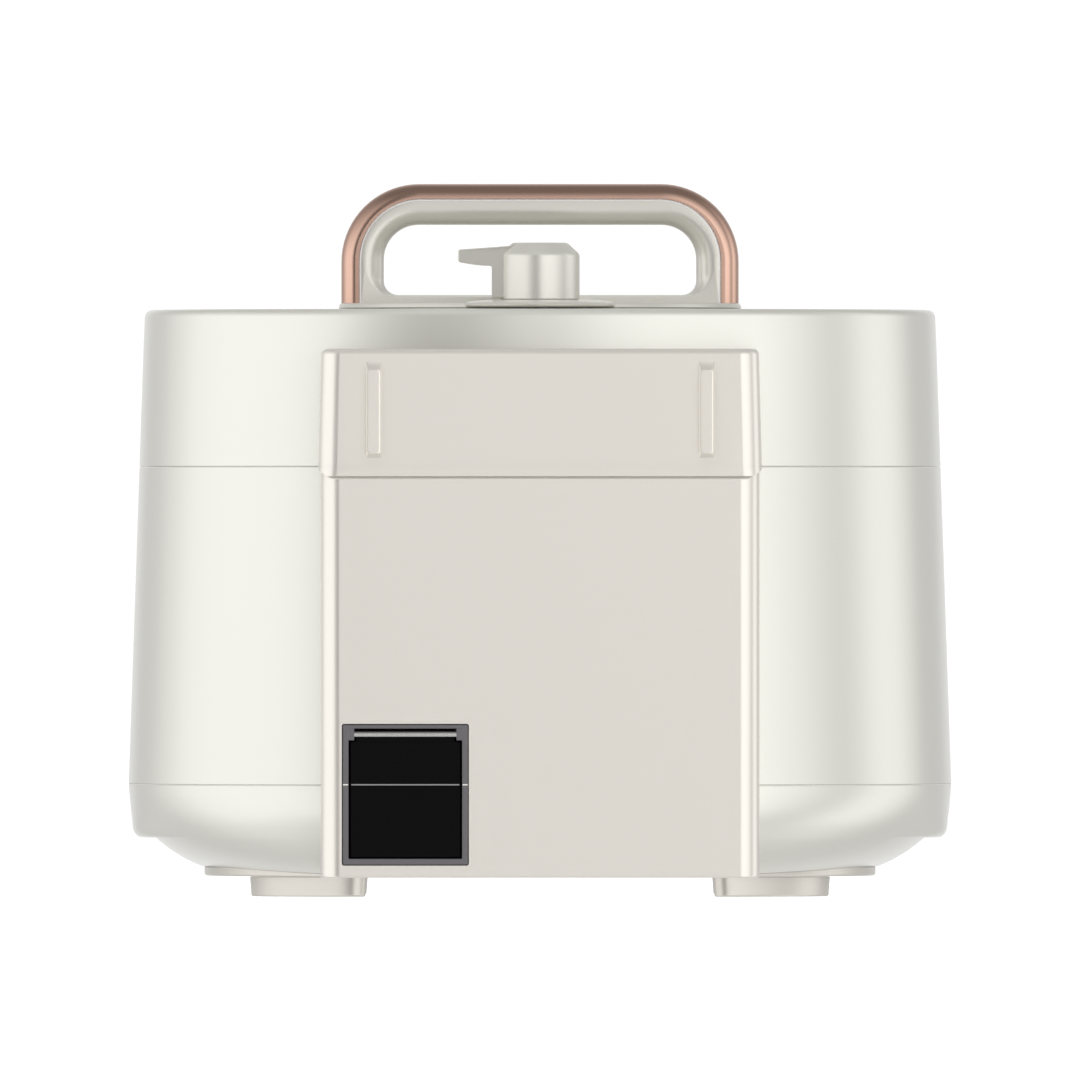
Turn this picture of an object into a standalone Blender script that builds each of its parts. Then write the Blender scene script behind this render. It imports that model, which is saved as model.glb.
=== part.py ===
"""Electric pressure cooker with a hinged lid and a turning locking handle.

Sizes are in millimetres and are written to the meshes in metres. The frame is
+Z up, the front faces -Y, the rear (hinge and power inlet) faces +Y, and the
ground is z = 0. At rest the lid is closed and the turning handle is unlocked.
"""
import math

import bpy
import bmesh

MM = 0.001

# Outline of the housing: an oval (superellipse) whose width changes with height.
OVAL_POWER = 2.4
OVAL_Y = -2.5            # the oval and the pot share this centre line
OVAL_DEPTH_LESS = 42.0   # half depth = half width - this
OVAL_COUNT = 48
DISC_COUNT = 60
WALL = 2.8
GAP = 0.35
BODY_WIDTHS = ((49.6, 182.8), (87.0, 181.8), (131.0, 180.3), (176.0, 178.5),
               (193.0, 178.1), (220.0, 176.9), (257.0, 175.8), (270.0, 175.4))

BASE_TOP = 49.6
BODY_TOP = 190.15
LID_BOTTOM = 190.85
LID_TOP = 260.3
LID_CORNER = 3.5

# Bowl-shaped underside: (height, half width).
BOWL = ((49.3, 182.8), (42.0, 181.6), (35.0, 178.4), (28.5, 173.4), (24.5, 169.4),
        (21.1, 165.2), (18.5, 161.4), (15.8, 156.9), (13.1, 150.5))
BOTTOM_HALF = 149.2
BOTTOM_LOW, BOTTOM_HIGH = 8.9, 12.8
GRIP_REACH = 0.33         # sine of the angle where a side grip ends
GRIP = ((49.0, 182.6), (42.0, 182.2), (33.6, 181.2), (28.2, 179.8), (26.6, 178.5),
        (26.1, 177.2))

# Rear housing (electrics and hinge) and the lid's rear cover.
REAR_FACE = 154.5
REAR_HALF = 96.9
REAR_RADIUS = 8.5
REAR_LOW = 8.9
HINGE_Y, HINGE_Z = 144.3, 175.8
BARREL_R = 13.2          # housing material stays inside this round the hinge axis
SWEEP_R = 13.7           # lid material stays outside this
COVER_LOW = 186.2
COVER_TOP = 242.5
COVER_HALF_LOW, COVER_HALF_TOP = 98.1, 96.7
RIB_X, RIB_WIDTH, RIB_LOW, RIB_HIGH, RIB_PROUD = 73.5, 7.3, 194.4, 236.9, 2.5
SHAFT_R = 3.0
BORE_R = 3.08
ARM_X, ARM_WIDTH = 67.0, 12.0
ARM_SLOT = 17.0

# Power inlet, on the rear housing.
INLET_X = 59.45
INLET_HALF = 27.75
INLET_LOW, INLET_HIGH = 14.6, 76.6
FRAME = 2.7
FLAP_PIN_Y, FLAP_PIN_Z, FLAP_PIN_R = 152.2, 72.3, 1.5

# Pressure vessel.
POT_R, POT_LOW, POT_RIM = 110.0, 36.0, 175.3
RING_LOW, RING_TOP = 172.0, 188.5
RING_OUT, RING_WALL, RING_LUG = 127.5, 124.5, 116.5
LUG_LOW = 185.7
TOOTH_LOW, TOOTH_HIGH, TOOTH_R, RIM_R = 182.5, 185.0, 120.8, 113.5
TOOTH_COUNT = 6
TOOTH_DEG, LUG_DEG = 24.0, 26.0

# Turning disc, handle and valve.
DISC_R, DISC_LOW, DISC_TOP = 89.5, 260.8, 263.2
LOBE_R, VALVE_OUT = 34.0, 74.0
VALVE_Y = OVAL_Y + VALVE_OUT
FLOAT_Y = OVAL_Y - 52.0
SKIRT_OUT, SKIRT_IN, SKIRT_LOW = 84.0, 81.0, 250.0
LID_HOLE_R = 85.0
HANDLE_LOW = 263.5
HANDLE_TOP = 316.3
HANDLE_HALF = 88.3
HANDLE_RADIUS = 34.7
BAND_TOP, BAND_LEG = 6.8, 8.0
BAND_DEPTH, GRIP_DEPTH = 13.0, 12.2
OPEN_HALF, OPEN_LOW, OPEN_TOP = 69.4, 267.0, 298.1

# Front control panel.
FRONT_FACE = -157.0
PANEL_FACE = -144.5
PANEL_BACK = -129.5
PANEL_HALF, PANEL_LOW, PANEL_HIGH, PANEL_RADIUS = 62.0, 64.0, 172.0, 16.0
KNOB_Z, KNOB_R = 93.0, 24.0
BUTTON_SPOTS = ((-45.0, 106.0), (45.0, 106.0), (-45.0, 81.0), (45.0, 81.0))
BUTTON_W, BUTTON_H = 18.0, 11.0

FINISHES = {
    "cream": ((0.74, 0.70, 0.64), 0.35, 0.0),
    "copper": ((0.62, 0.36, 0.26), 0.28, 1.0),
    "steel": ((0.62, 0.61, 0.60), 0.25, 1.0),
    "aluminium": ((0.70, 0.70, 0.71), 0.4, 1.0),
    "black": ((0.02, 0.02, 0.02), 0.3, 0.0),
    "dark_grey": ((0.12, 0.12, 0.125), 0.5, 0.0),
    "mid_grey": ((0.33, 0.33, 0.33), 0.5, 0.0),
    "silicone": ((0.75, 0.74, 0.72), 0.6, 0.0),
    "board": ((0.03, 0.18, 0.07), 0.5, 0.0),
    "glass": ((0.015, 0.016, 0.02), 0.08, 0.0),
    "brass": ((0.65, 0.48, 0.2), 0.35, 1.0),
}


def make_material(name, finish):
    """Give one node its own material."""
    colour, rough, metal = FINISHES[finish]
    material = bpy.data.materials.new(name)
    material.use_nodes = True
    shader = material.node_tree.nodes["Principled BSDF"]
    shader.inputs["Base Color"].default_value = (*colour, 1.0)
    shader.inputs["Roughness"].default_value = rough
    shader.inputs["Metallic"].default_value = metal
    material.diffuse_color = (*colour, 1.0)
    return material


def solid(name, points, faces, finish=None):
    """Make a mesh object from points in millimetres; scratch solids have no finish."""
    mesh = bpy.data.meshes.new(name)
    mesh.from_pydata([[c * MM for c in p] for p in points], [], faces)
    work = bmesh.new()
    work.from_mesh(mesh)
    bmesh.ops.recalc_face_normals(work, faces=work.faces)
    work.to_mesh(mesh)
    work.free()
    node = bpy.data.objects.new(name, mesh)
    bpy.context.scene.collection.objects.link(node)
    if finish:
        mesh.materials.append(make_material(name, finish))
    return node


def stack(name, rings, finish=None, closed=False):
    """Skin equal-length rings; the ends are capped unless the stack closes on itself."""
    count = len(rings[0])
    points = [p for ring in rings for p in ring]
    faces = []
    for i in range(len(rings) if closed else len(rings) - 1):
        a, b = i * count, ((i + 1) % len(rings)) * count
        for j in range(count):
            k = (j + 1) % count
            faces.append((a + j, a + k, b + k, b + j))
    if not closed:
        faces.append(tuple(range(count)))
        faces.append(tuple(range(len(points) - count, len(points))))
    return solid(name, points, faces, finish)


def angles(count):
    """Return equal angles round a turn."""
    return [math.tau * i / count for i in range(count)]


def circle(radius, z, x=0.0, y=OVAL_Y, count=OVAL_COUNT):
    """Return a level ring."""
    return [(x + radius * math.cos(a), y + radius * math.sin(a), z) for a in angles(count)]


def lathe(name, profile, finish=None, x=0.0, y=OVAL_Y, count=64, closed=False):
    """Turn a profile of (radius, height) about a vertical axis."""
    return stack(name, [circle(r, z, x, y, count) for r, z in profile], finish, closed)


def turned(name, profile, x, z, finish=None, count=28, closed=False):
    """Turn a profile of (radius, y) about an axis along Y."""
    rings = [[(x + r * math.cos(a), y, z + r * math.sin(a)) for a in angles(count)]
             for r, y in profile]
    return stack(name, rings, finish, closed)


def rod(name, radius, y, z, x0, x1, finish=None, count=20):
    """Return a round bar along X."""
    rings = [[(x, y + radius * math.cos(a), z + radius * math.sin(a)) for a in angles(count)]
             for x in (x0, x1)]
    return stack(name, rings, finish)


def half_width(z):
    """Return the housing's half width at a height."""
    rows = BODY_WIDTHS
    for (z0, w0), (z1, w1) in zip(rows, rows[1:]):
        if z <= z1:
            return w0 + (w1 - w0) * (z - z0) / (z1 - z0)
    return rows[-1][1]


def oval(half, z):
    """Return the housing's oval ring for a half width."""
    deep = half - OVAL_DEPTH_LESS
    ring = []
    for a in angles(OVAL_COUNT):
        c, s = math.cos(a), math.sin(a)
        r = (abs(c / half) ** OVAL_POWER + abs(s / deep) ** OVAL_POWER) ** (-1 / OVAL_POWER)
        ring.append((r * c, OVAL_Y + r * s, z))
    return ring


def place(u, v, w, axis):
    """Turn flat coordinates and a depth into a point, by the extrusion axis."""
    return {"x": (w, u, v), "y": (u, w, v), "z": (u, v, w)}[axis]


def rounded(u0, u1, v0, v1, radii, steps=5):
    """Return a rectangle with rounded corners; radii go round from low u, low v."""
    if not isinstance(radii, (tuple, list)):
        radii = (radii,) * 4
    corners = ((u0, v0, 1, 1, 180), (u1, v0, -1, 1, 270), (u1, v1, -1, -1, 0),
               (u0, v1, 1, -1, 90))
    outline = []
    for (u, v, du, dv, start), r in zip(corners, radii):
        for i in range(steps + 1):
            a = math.radians(start + 90 * i / steps)
            outline.append((u + du * r + r * math.cos(a), v + dv * r + r * math.sin(a)))
    return outline


def prism(name, outline, low, high, axis, finish=None):
    """Extrude a flat outline along an axis."""
    rings = [[place(u, v, w, axis) for u, v in outline] for w in (low, high)]
    return stack(name, rings, finish)


def pad(name, u0, u1, v0, v1, low, high, axis, finish=None, radius=1.0, edge=0.0, both=False,
        steps=5):
    """Make a rounded rectangular pad whose high (or both) edges are rounded off too."""
    turn = 1 if high > low else -1

    def ring(inset, w):
        r = max(radius - inset, 0.05)
        flat = rounded(u0 + inset, u1 - inset, v0 + inset, v1 - inset, r, steps)
        return [place(u, v, w, axis) for u, v in flat]
    bend = [(edge * (1 - math.cos(a)), turn * edge * (1 - math.sin(a)))
            for a in (0.0, math.pi / 6, math.pi / 3, math.pi / 2)] if edge else [(0.0, 0.0)]
    rings = [ring(i, low + d) for i, d in reversed(bend)] if both else [ring(0.0, low)]
    rings += [ring(i, high - d) for i, d in bend]
    return stack(name, rings, finish)


def block(name, x0, x1, y0, y1, z0, z1, finish=None):
    """Return a plain box."""
    outline = ((x0, y0), (x1, y0), (x1, y1), (x0, y1))
    return prism(name, outline, z0, z1, "z", finish)


def combine(node, other, operation="DIFFERENCE"):
    """Cut, join or intersect with a scratch solid, which is then removed."""
    modifier = node.modifiers.new("combine", "BOOLEAN")
    modifier.operation = operation
    modifier.solver = "EXACT"
    modifier.object = other
    bpy.context.view_layer.update()
    seen = node.evaluated_get(bpy.context.evaluated_depsgraph_get())
    mesh = bpy.data.meshes.new_from_object(seen)
    node.modifiers.clear()
    old = node.data
    node.data = mesh
    bpy.data.meshes.remove(old)
    bpy.data.objects.remove(other)
    mesh.name = node.name
    return node


def join(node, other):
    """Fuse a scratch solid into a node."""
    return combine(node, other, "UNION")


def origin_at(node, x, y, z):
    """Move a node's origin to its joint without moving the node."""
    spot = (x * MM, y * MM, z * MM)
    for vertex in node.data.vertices:
        vertex.co -= type(vertex.co)(spot)
    node.location = spot
    return node


def sector(name, r0, r1, z0, z1, middle_deg, width_deg, steps=6):
    """Return a ring sector about the pot's axis."""
    a0 = math.radians(middle_deg - width_deg / 2)
    a1 = math.radians(middle_deg + width_deg / 2)
    turns = [a0 + (a1 - a0) * i / steps for i in range(steps + 1)]
    outline = [(r1 * math.cos(a), OVAL_Y + r1 * math.sin(a)) for a in turns]
    outline += [(r0 * math.cos(a), OVAL_Y + r0 * math.sin(a)) for a in reversed(turns)]
    return prism(name, outline, z0, z1, "z")


def smooth(node, limit_deg=35.0):
    """Shade a node smooth except across its sharp edges."""
    work = bmesh.new()
    work.from_mesh(node.data)
    for face in work.faces:
        face.smooth = True
    for edge in work.edges:
        edge.smooth = edge.calc_face_angle(0.0) < math.radians(limit_deg)
    work.to_mesh(node.data)
    work.free()


def housing_cutter(offset, low, high):
    """Return the oval housing's outside, grown a little, as a scratch solid."""
    rows = [(BOTTOM_LOW - 3, BOTTOM_HALF), (13.0, BOTTOM_HALF)] + sorted(BOWL)
    rows += [(z, half_width(z)) for z in (50.0, 87.0, 131.0, 176.0, 193.0, 220.0, 257.0, 262.0)]
    rows = [(z, w) for z, w in rows if low < z < high]
    rings = [oval(rows[0][1] + offset, low)] + [oval(w + offset, z) for z, w in rows]
    rings.append(oval(rows[-1][1] + offset, high))
    return stack("cutter", rings)


def make_body():
    """Build the body shell, the base and the feet."""
    outer = [(z, half_width(z)) for z in (50.0, 87.0, 131.0, 176.0)]
    outer += [(BODY_TOP - 0.8, half_width(BODY_TOP)), (BODY_TOP, half_width(BODY_TOP) - 0.8)]
    inner = [(BODY_TOP, half_width(BODY_TOP) - WALL)]
    inner += [(z, half_width(z) - WALL) for z in (131.0, 50.0)]
    shell = stack("body_shell", [oval(w, z) for z, w in outer + inner], "cream", True)
    for side in (-1, 1):
        combine(shell, block("cutter", side * ARM_X - ARM_SLOT / 2, side * ARM_X + ARM_SLOT / 2,
                             100, 140, 163.0, 200))
    r = PANEL_RADIUS + GAP
    hole = rounded(-PANEL_HALF - GAP, PANEL_HALF + GAP, PANEL_LOW - GAP, PANEL_HIGH + GAP, r)
    combine(shell, prism("cutter", hole, -160, -100, "y"))

    inside = [(14.9, 147.0), (21.1, 162.0), (35.0, 175.4), (49.3, 180.0)]
    rings = [oval(w, z) for z, w in sorted(BOWL) + inside[::-1]]
    pan = stack("base_pan", rings, "cream")
    for side in (-1, 1):
        ends = []
        for z, w in GRIP:
            ring = [p for p, a in zip(oval(w, z), angles(OVAL_COUNT))
                    if side * math.cos(a) > 0 and abs(math.sin(a)) < GRIP_REACH]
            ring.sort(key=lambda p: p[1])
            ends.append(ring + [(side * 165.0, ring[-1][1], z), (side * 165.0, ring[0][1], z)])
        join(pan, stack("grip", ends))
    lip = ((45.0, 178.9), (54.0, 178.9), (54.0, 176.6), (45.0, 176.6))
    join(pan, stack("lip", [oval(w, z) for z, w in lip], closed=True))

    cover = stack("bottom_cover", [oval(w, z) for z, w in (
        (BOTTOM_LOW, BOTTOM_HALF - 1.0), (BOTTOM_LOW + 0.8, BOTTOM_HALF),
        (BOTTOM_HIGH - 0.05, BOTTOM_HALF))], "dark_grey")
    for x in (-40, -20, 0, 20, 40):
        slot = rounded(x - 3, x + 3, -45, 40, 2.9, 3)
        combine(cover, prism("cutter", slot, 0, 20, "z"))

    for side in (-1, 1):
        for end in (-1, 1):
            make_foot(side, end)
    return shell


def make_foot(side, end):
    """Build one foot, a curved pad under the bottom cover."""
    low, high = 0.0, BOTTOM_LOW - 0.3
    rings = []
    for z, less in ((high, 0.0), (1.2, 0.9), (low, 1.9)):
        outer, inner = [], []
        for i in range(9):
            t = i / 8
            x = 76.7 + less * 0.6 + t * (52.0 - less * 1.2)
            y = 88.0 * (1 - (x / 139.0) ** 2.4) ** (1 / 2.4)
            wide = (9.0 - less) * math.sqrt(max(0.0, 1 - (2 * t - 1) ** 6)) + 0.6
            outer.append((x, y + wide, z))
            inner.append((x, y - wide, z))
        ring = outer + inner[::-1]
        rings.append([(side * x, OVAL_Y + end * y, z) for x, y, z in ring])
    name = "foot_{}_{}".format("rear" if end > 0 else "front", "right" if side > 0 else "left")
    return stack(name, rings, "cream")


def barrel_arc(radius, start_deg, steps=8):
    """Return an arc about the hinge axis, from an angle up to straight above it."""
    turns = [math.radians(start_deg + (90 - start_deg) * i / steps) for i in range(steps + 1)]
    return [(HINGE_Y + radius * math.cos(a), HINGE_Z + radius * math.sin(a)) for a in turns]


def make_rear_housing():
    """Build the rear housing with the hinge barrel, arm wells and inlet opening."""
    outline = rounded(-REAR_HALF, REAR_HALF, 60.0, REAR_FACE,
                      (1.0, 1.0, REAR_RADIUS, REAR_RADIUS), 4)
    top = HINGE_Z + BARREL_R
    node = prism("rear_housing", outline, REAR_LOW, top, "z", "cream")
    inset = rounded(-REAR_HALF + 2.5, REAR_HALF - 2.5, 40.0, REAR_FACE - 2.5,
                    (1.0, 1.0, REAR_RADIUS - 2.5, REAR_RADIUS - 2.5), 4)
    combine(node, prism("cutter", inset, REAR_LOW + 2.5, 160.0, "z"))
    combine(node, block("cutter", -46, 46, 40, REAR_FACE - 3.0, 150, 182.0))
    corner = math.degrees(math.asin(8.38 / BARREL_R))
    y0 = HINGE_Y
    lip = barrel_arc(BARREL_R, corner) + [(y0, 200), (y0 + 30, 200), (y0 + 30, HINGE_Z + 8.38)]
    combine(node, prism("cutter", lip, -110, 110, "x"))
    for side in (-1, 1):
        x = side * ARM_X
        combine(node, block("cutter", x - ARM_SLOT / 2, x + ARM_SLOT / 2, 40, HINGE_Y + 7.6,
                            HINGE_Z - 7.6, 200))
    combine(node, rod("cutter", BORE_R, HINGE_Y, HINGE_Z, -90.3, 90.3))
    combine(node, housing_cutter(GAP, 0.0, 210.0))
    hole = rounded(INLET_X - INLET_HALF - 0.3, INLET_X + INLET_HALF + 0.3,
                   INLET_LOW - 0.3, INLET_HIGH + 0.3, 1.0, 2)
    combine(node, prism("cutter", hole, 140, 160, "y"))
    rod("hinge_shaft", SHAFT_R, HINGE_Y, HINGE_Z, -90.0, 90.0, "steel")
    return node


def make_inlet():
    """Build the framed power inlet, its socket and its hinged flap."""
    x0, x1 = INLET_X - INLET_HALF, INLET_X + INLET_HALF
    bezel = prism("inlet_bezel", rounded(x0, x1, INLET_LOW, INLET_HIGH, 0.8, 2),
                  141.8, REAR_FACE - 0.2, "y", "mid_grey")
    hole = rounded(x0 + FRAME, x1 - FRAME, INLET_LOW + FRAME, INLET_HIGH - 1.8, 0.5, 2)
    combine(bezel, prism("cutter", hole, 130, 160, "y"))
    for x in (x0 + FRAME + 0.9, x1 - FRAME - 0.9):
        join(bezel, block("corner", x - 1.6, x + 1.6, 149.8, REAR_FACE - 0.4, 69.6, 75.6))
    combine(bezel, rod("cutter", FLAP_PIN_R + 0.08, FLAP_PIN_Y, FLAP_PIN_Z,
                       x0 + 1.0, x1 - 1.0))

    socket = prism("inlet_socket", rounded(x0 + 2.0, x1 - 2.0, 17.0, 74.5, 1.5, 2),
                   138.6, 141.4, "y", "black")
    low, high = 33.0, 57.0
    shroud = prism("shroud", rounded(INLET_X - 16, INLET_X + 16, low, high, 3, 3),
                   140.4, 150.4, "y")
    combine(shroud, prism("cutter", rounded(INLET_X - 13, INLET_X + 13, low + 2.5, high - 2.5,
                                            2, 3), 130, 160, "y"))
    join(socket, shroud)
    for dx, z in ((0.0, 48.5), (-7.0, 42.5), (7.0, 42.5)):
        join(socket, block("contact", INLET_X + dx - 1, INLET_X + dx + 1, 140.4, 145.8,
                           z - 2, z + 2))

    plate = pad("inlet_flap", x0 + 5.6, x1 - 5.6, 18.0, 70.9, 151.2, 153.2, "y", "black",
                radius=0.8, edge=0.5)
    for x in (x0 + 8.0, x1 - 16.0):
        join(plate, rod("knuckle", 2.2, FLAP_PIN_Y, FLAP_PIN_Z, x, x + 8.0))
    combine(plate, rod("cutter", FLAP_PIN_R + 0.05, FLAP_PIN_Y, FLAP_PIN_Z, x0, x1))
    origin_at(plate, INLET_X, FLAP_PIN_Y, FLAP_PIN_Z)
    pin = rod("flap_pin", FLAP_PIN_R, FLAP_PIN_Y, FLAP_PIN_Z, x0 + 1.4, x1 - 1.4, "steel")
    origin_at(pin, INLET_X, FLAP_PIN_Y, FLAP_PIN_Z)


def make_lid():
    """Build the lid's cover, rear cover, liner and hinge arms."""
    w_low, w_top = half_width(LID_BOTTOM), half_width(LID_TOP)
    c = LID_CORNER
    outer = [(LID_BOTTOM, w_low - 0.8), (LID_BOTTOM + 0.8, w_low), (220.0, half_width(220.0)),
             (LID_TOP - c, half_width(LID_TOP - c))]
    outer += [(LID_TOP - c + c * math.sin(a), w_top - c + c * math.cos(a))
              for a in (math.pi / 6, math.pi / 3, math.pi / 2)]
    rings = [oval(w, z) for z, w in outer]
    rings += [circle(LID_HOLE_R, LID_TOP), circle(LID_HOLE_R, LID_TOP - 3.0)]
    rings += [oval(w, z) for z, w in ((LID_TOP - 3.0, w_top - 6.0), (LID_TOP - 6.0, w_top - 3.0),
                                      (220.0, half_width(220.0) - WALL),
                                      (LID_BOTTOM, w_low - WALL))]
    cover = stack("lid_cover", rings, "cream", True)

    side, flat = [], 9.0
    for z, half in ((COVER_LOW, COVER_HALF_LOW), (COVER_TOP - 2.6, COVER_HALF_TOP),
                    (COVER_TOP - 0.8, COVER_HALF_TOP - 0.7), (COVER_TOP, COVER_HALF_TOP - 2.4)):
        less = COVER_HALF_TOP - half if z > COVER_LOW else 0.0
        r = REAR_RADIUS
        side.append([(u, v, z) for u, v in
                     rounded(-half, half, flat, REAR_FACE - max(less, 0.0), (1, 1, r, r), 6)])
    rear = stack("lid_rear_cover", side, "cream")
    wall = 2.6
    side = []
    for z, half in ((COVER_LOW - 5, COVER_HALF_LOW), (COVER_TOP - 5.0, COVER_HALF_TOP),
                    (COVER_TOP - wall, COVER_HALF_TOP - 3.0)):
        half -= wall
        face = REAR_FACE - wall - (3.0 if z > COVER_TOP - 4 else 0.0)
        r = REAR_RADIUS - wall
        side.append([(u, v, z) for u, v in rounded(-half, half, 0.0, face, (1, 1, r, r), 6)])
    combine(rear, stack("cutter", side))
    dy = math.sqrt(SWEEP_R ** 2 - (COVER_LOW - HINGE_Z) ** 2)
    clear = barrel_arc(SWEEP_R, math.degrees(math.acos(dy / SWEEP_R)))
    clear += [(0, HINGE_Z + SWEEP_R), (0, 150), (HINGE_Y + dy, 150)]
    combine(rear, prism("cutter", clear, -110, 110, "x"))
    combine(rear, housing_cutter(GAP, 150.0, 258.0))
    for x in (-RIB_X, RIB_X):
        half = RIB_WIDTH / 2
        rows = ((REAR_FACE - 1.0, 0.0, 0.0), (REAR_FACE, 0.0, 0.0),
                (REAR_FACE + RIB_PROUD, 1.2, 3.4))
        rings = []
        for y, inset, slope in rows:
            low = RIB_LOW + slope * 0.5
            rings.append([(u, y, v) for u, v in
                          rounded(x - half + inset, x + half - inset, low, RIB_HIGH - slope,
                                  1.0, 3)])
        join(rear, stack("rib", rings))

    liner = stack("lid_liner", [oval(w_low - WALL - 0.4, z) for z in (192.0, 195.0)],
                  "mid_grey")
    combine(liner, stack("cutter", [circle(117.5, z) for z in (180.0, 210.0)]))
    combine(liner, stack("cutter", [circle(20.0, z, 0, 300) for z in (180.0, 210.0)]))
    for x in (-ARM_X, ARM_X):
        combine(liner, block("cutter", x - 6.6, x + 6.6, 113.0, 121.4, 180, 210))
        make_arm("hinge_arm_right" if x > 0 else "hinge_arm_left", x)
    return cover


def make_arm(name, x):
    """Build one hinge arm: an eye on the shaft, a bar forwards and a post up."""
    back, front, half, high = -23.5, -30.5, 4.5, 40.0
    start = math.degrees(math.asin(half / 7.0))
    outline = [(back, high), (front, high), (front, -half)]
    steps = 14
    a0, a1 = 180 + start, 540 - start
    for i in range(steps + 1):
        a = math.radians(a0 + (a1 - a0) * i / steps)
        outline.append((7.0 * math.cos(a), 7.0 * math.sin(a)))
    outline.append((back, half))
    outline = [(HINGE_Y + u, HINGE_Z + v) for u, v in outline]
    arm = prism(name, outline, x - ARM_WIDTH / 2, x + ARM_WIDTH / 2, "x", "steel")
    combine(arm, rod("cutter", BORE_R, HINGE_Y, HINGE_Z, x - 20, x + 20))
    return origin_at(arm, 0, HINGE_Y, HINGE_Z)


def make_vessel():
    """Build the inner pot, heat shield, lock ring, heating plate and sensor."""
    frame = stack("top_frame", [oval(half_width(186.0) - WALL - 0.4, z) for z in (183.5, 187.5)],
                  "mid_grey")
    combine(frame, stack("cutter", [circle(RING_OUT + 0.5, z) for z in (180.0, 190.0)]))
    for x in (-ARM_X, ARM_X):
        combine(frame, block("cutter", x - ARM_SLOT / 2, x + ARM_SLOT / 2, 112.0, 150.0,
                             180, 190))

    ring = lathe("lock_ring", [(113.1, RING_LOW), (RING_OUT, RING_LOW), (RING_OUT, RING_TOP),
                               (RING_LUG, RING_TOP), (RING_LUG, LUG_LOW), (RING_WALL, LUG_LOW),
                               (RING_WALL, 175.0), (113.1, 175.0)],
                 "aluminium", count=36, closed=True)
    for i in range(TOOTH_COUNT):
        middle = i * 360.0 / TOOTH_COUNT
        combine(ring, sector("cutter", 110.0, RING_WALL, 180.0, 195.0, middle,
                             360.0 / TOOTH_COUNT - LUG_DEG))

    lathe("inner_pot", [(96, POT_LOW), (105, 39.5), (POT_R, 48), (POT_R, POT_RIM),
                        (116, POT_RIM), (116, POT_RIM + 1.3), (POT_R - 1.3, POT_RIM + 1.3),
                        (POT_R - 1.3, 48.4), (104.0, 40.9), (95.6, POT_LOW + 1.3)],
          "steel", count=40)
    shield = lathe("heat_shield", [(100, 19.0), (110, 23.5), (112.2, 30), (112.2, 174.6), (111.0, 174.6),
                          (111.0, 30.4), (109.2, 24.5), (99.7, 20.2)], "aluminium", count=32)
    combine(shield,
            stack("cutter", [circle(13.5, z, count=32) for z in (10.0, 40.0)]))
    plate = lathe("heating_plate", [(80, 20.8), (92, 27.0), (92, 34.0), (90, 35.6)],
                  "aluminium", count=28)
    combine(plate, stack("cutter", [circle(13.5, z, count=32) for z in (10.0, 50.0)]))

    sensor = lathe("temperature_sensor", [(4.0, 20.0), (4.0, 26.0), (12.0, 26.0), (12.0, 34.6),
                                          (11.0, 35.6)], "steel", count=32)
    origin_at(sensor, 0, OVAL_Y, 35.6)
    coil = []
    turns, per_turn, wire, radius = 4, 9, 0.8, 7.5
    low, high = 15.6, 25.0
    for i in range(turns * per_turn + 1):
        a = math.tau * i / per_turn
        z = low + wire + (high - low - 2 * wire) * i / (turns * per_turn)
        ring = []
        for k in range(6):
            b = math.tau * k / 6
            r = radius + wire * math.cos(b)
            ring.append((r * math.cos(a), OVAL_Y + r * math.sin(a), z + wire * math.sin(b)))
        coil.append(ring)
    stack("sensor_spring", coil, "steel")


def make_boards():
    """Build the power board and the control board inside the housing."""
    board = block("power_board", 136.0, 137.8, -50, 50, 62, 140, "board")
    for y0, y1, z0, z1, t in ((-40, -14, 74, 100, 16), (-6, 16, 72, 112, 10),
                              (24, 44, 70, 92, 14), (-38, -10, 112, 130, 9)):
        join(board, block("chip", 137.0, 137.8 + t, y0, y1, z0, z1))
    board = block("control_board", -50, 50, -125.6, -124.0, 72, 164, "board")
    for x0, x1, z0, z1 in ((-34, 34, 132, 158), (-10, 10, 100, 118)):
        join(board, block("chip", x0, x1, -128.2, -125.0, z0, z1))


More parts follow.
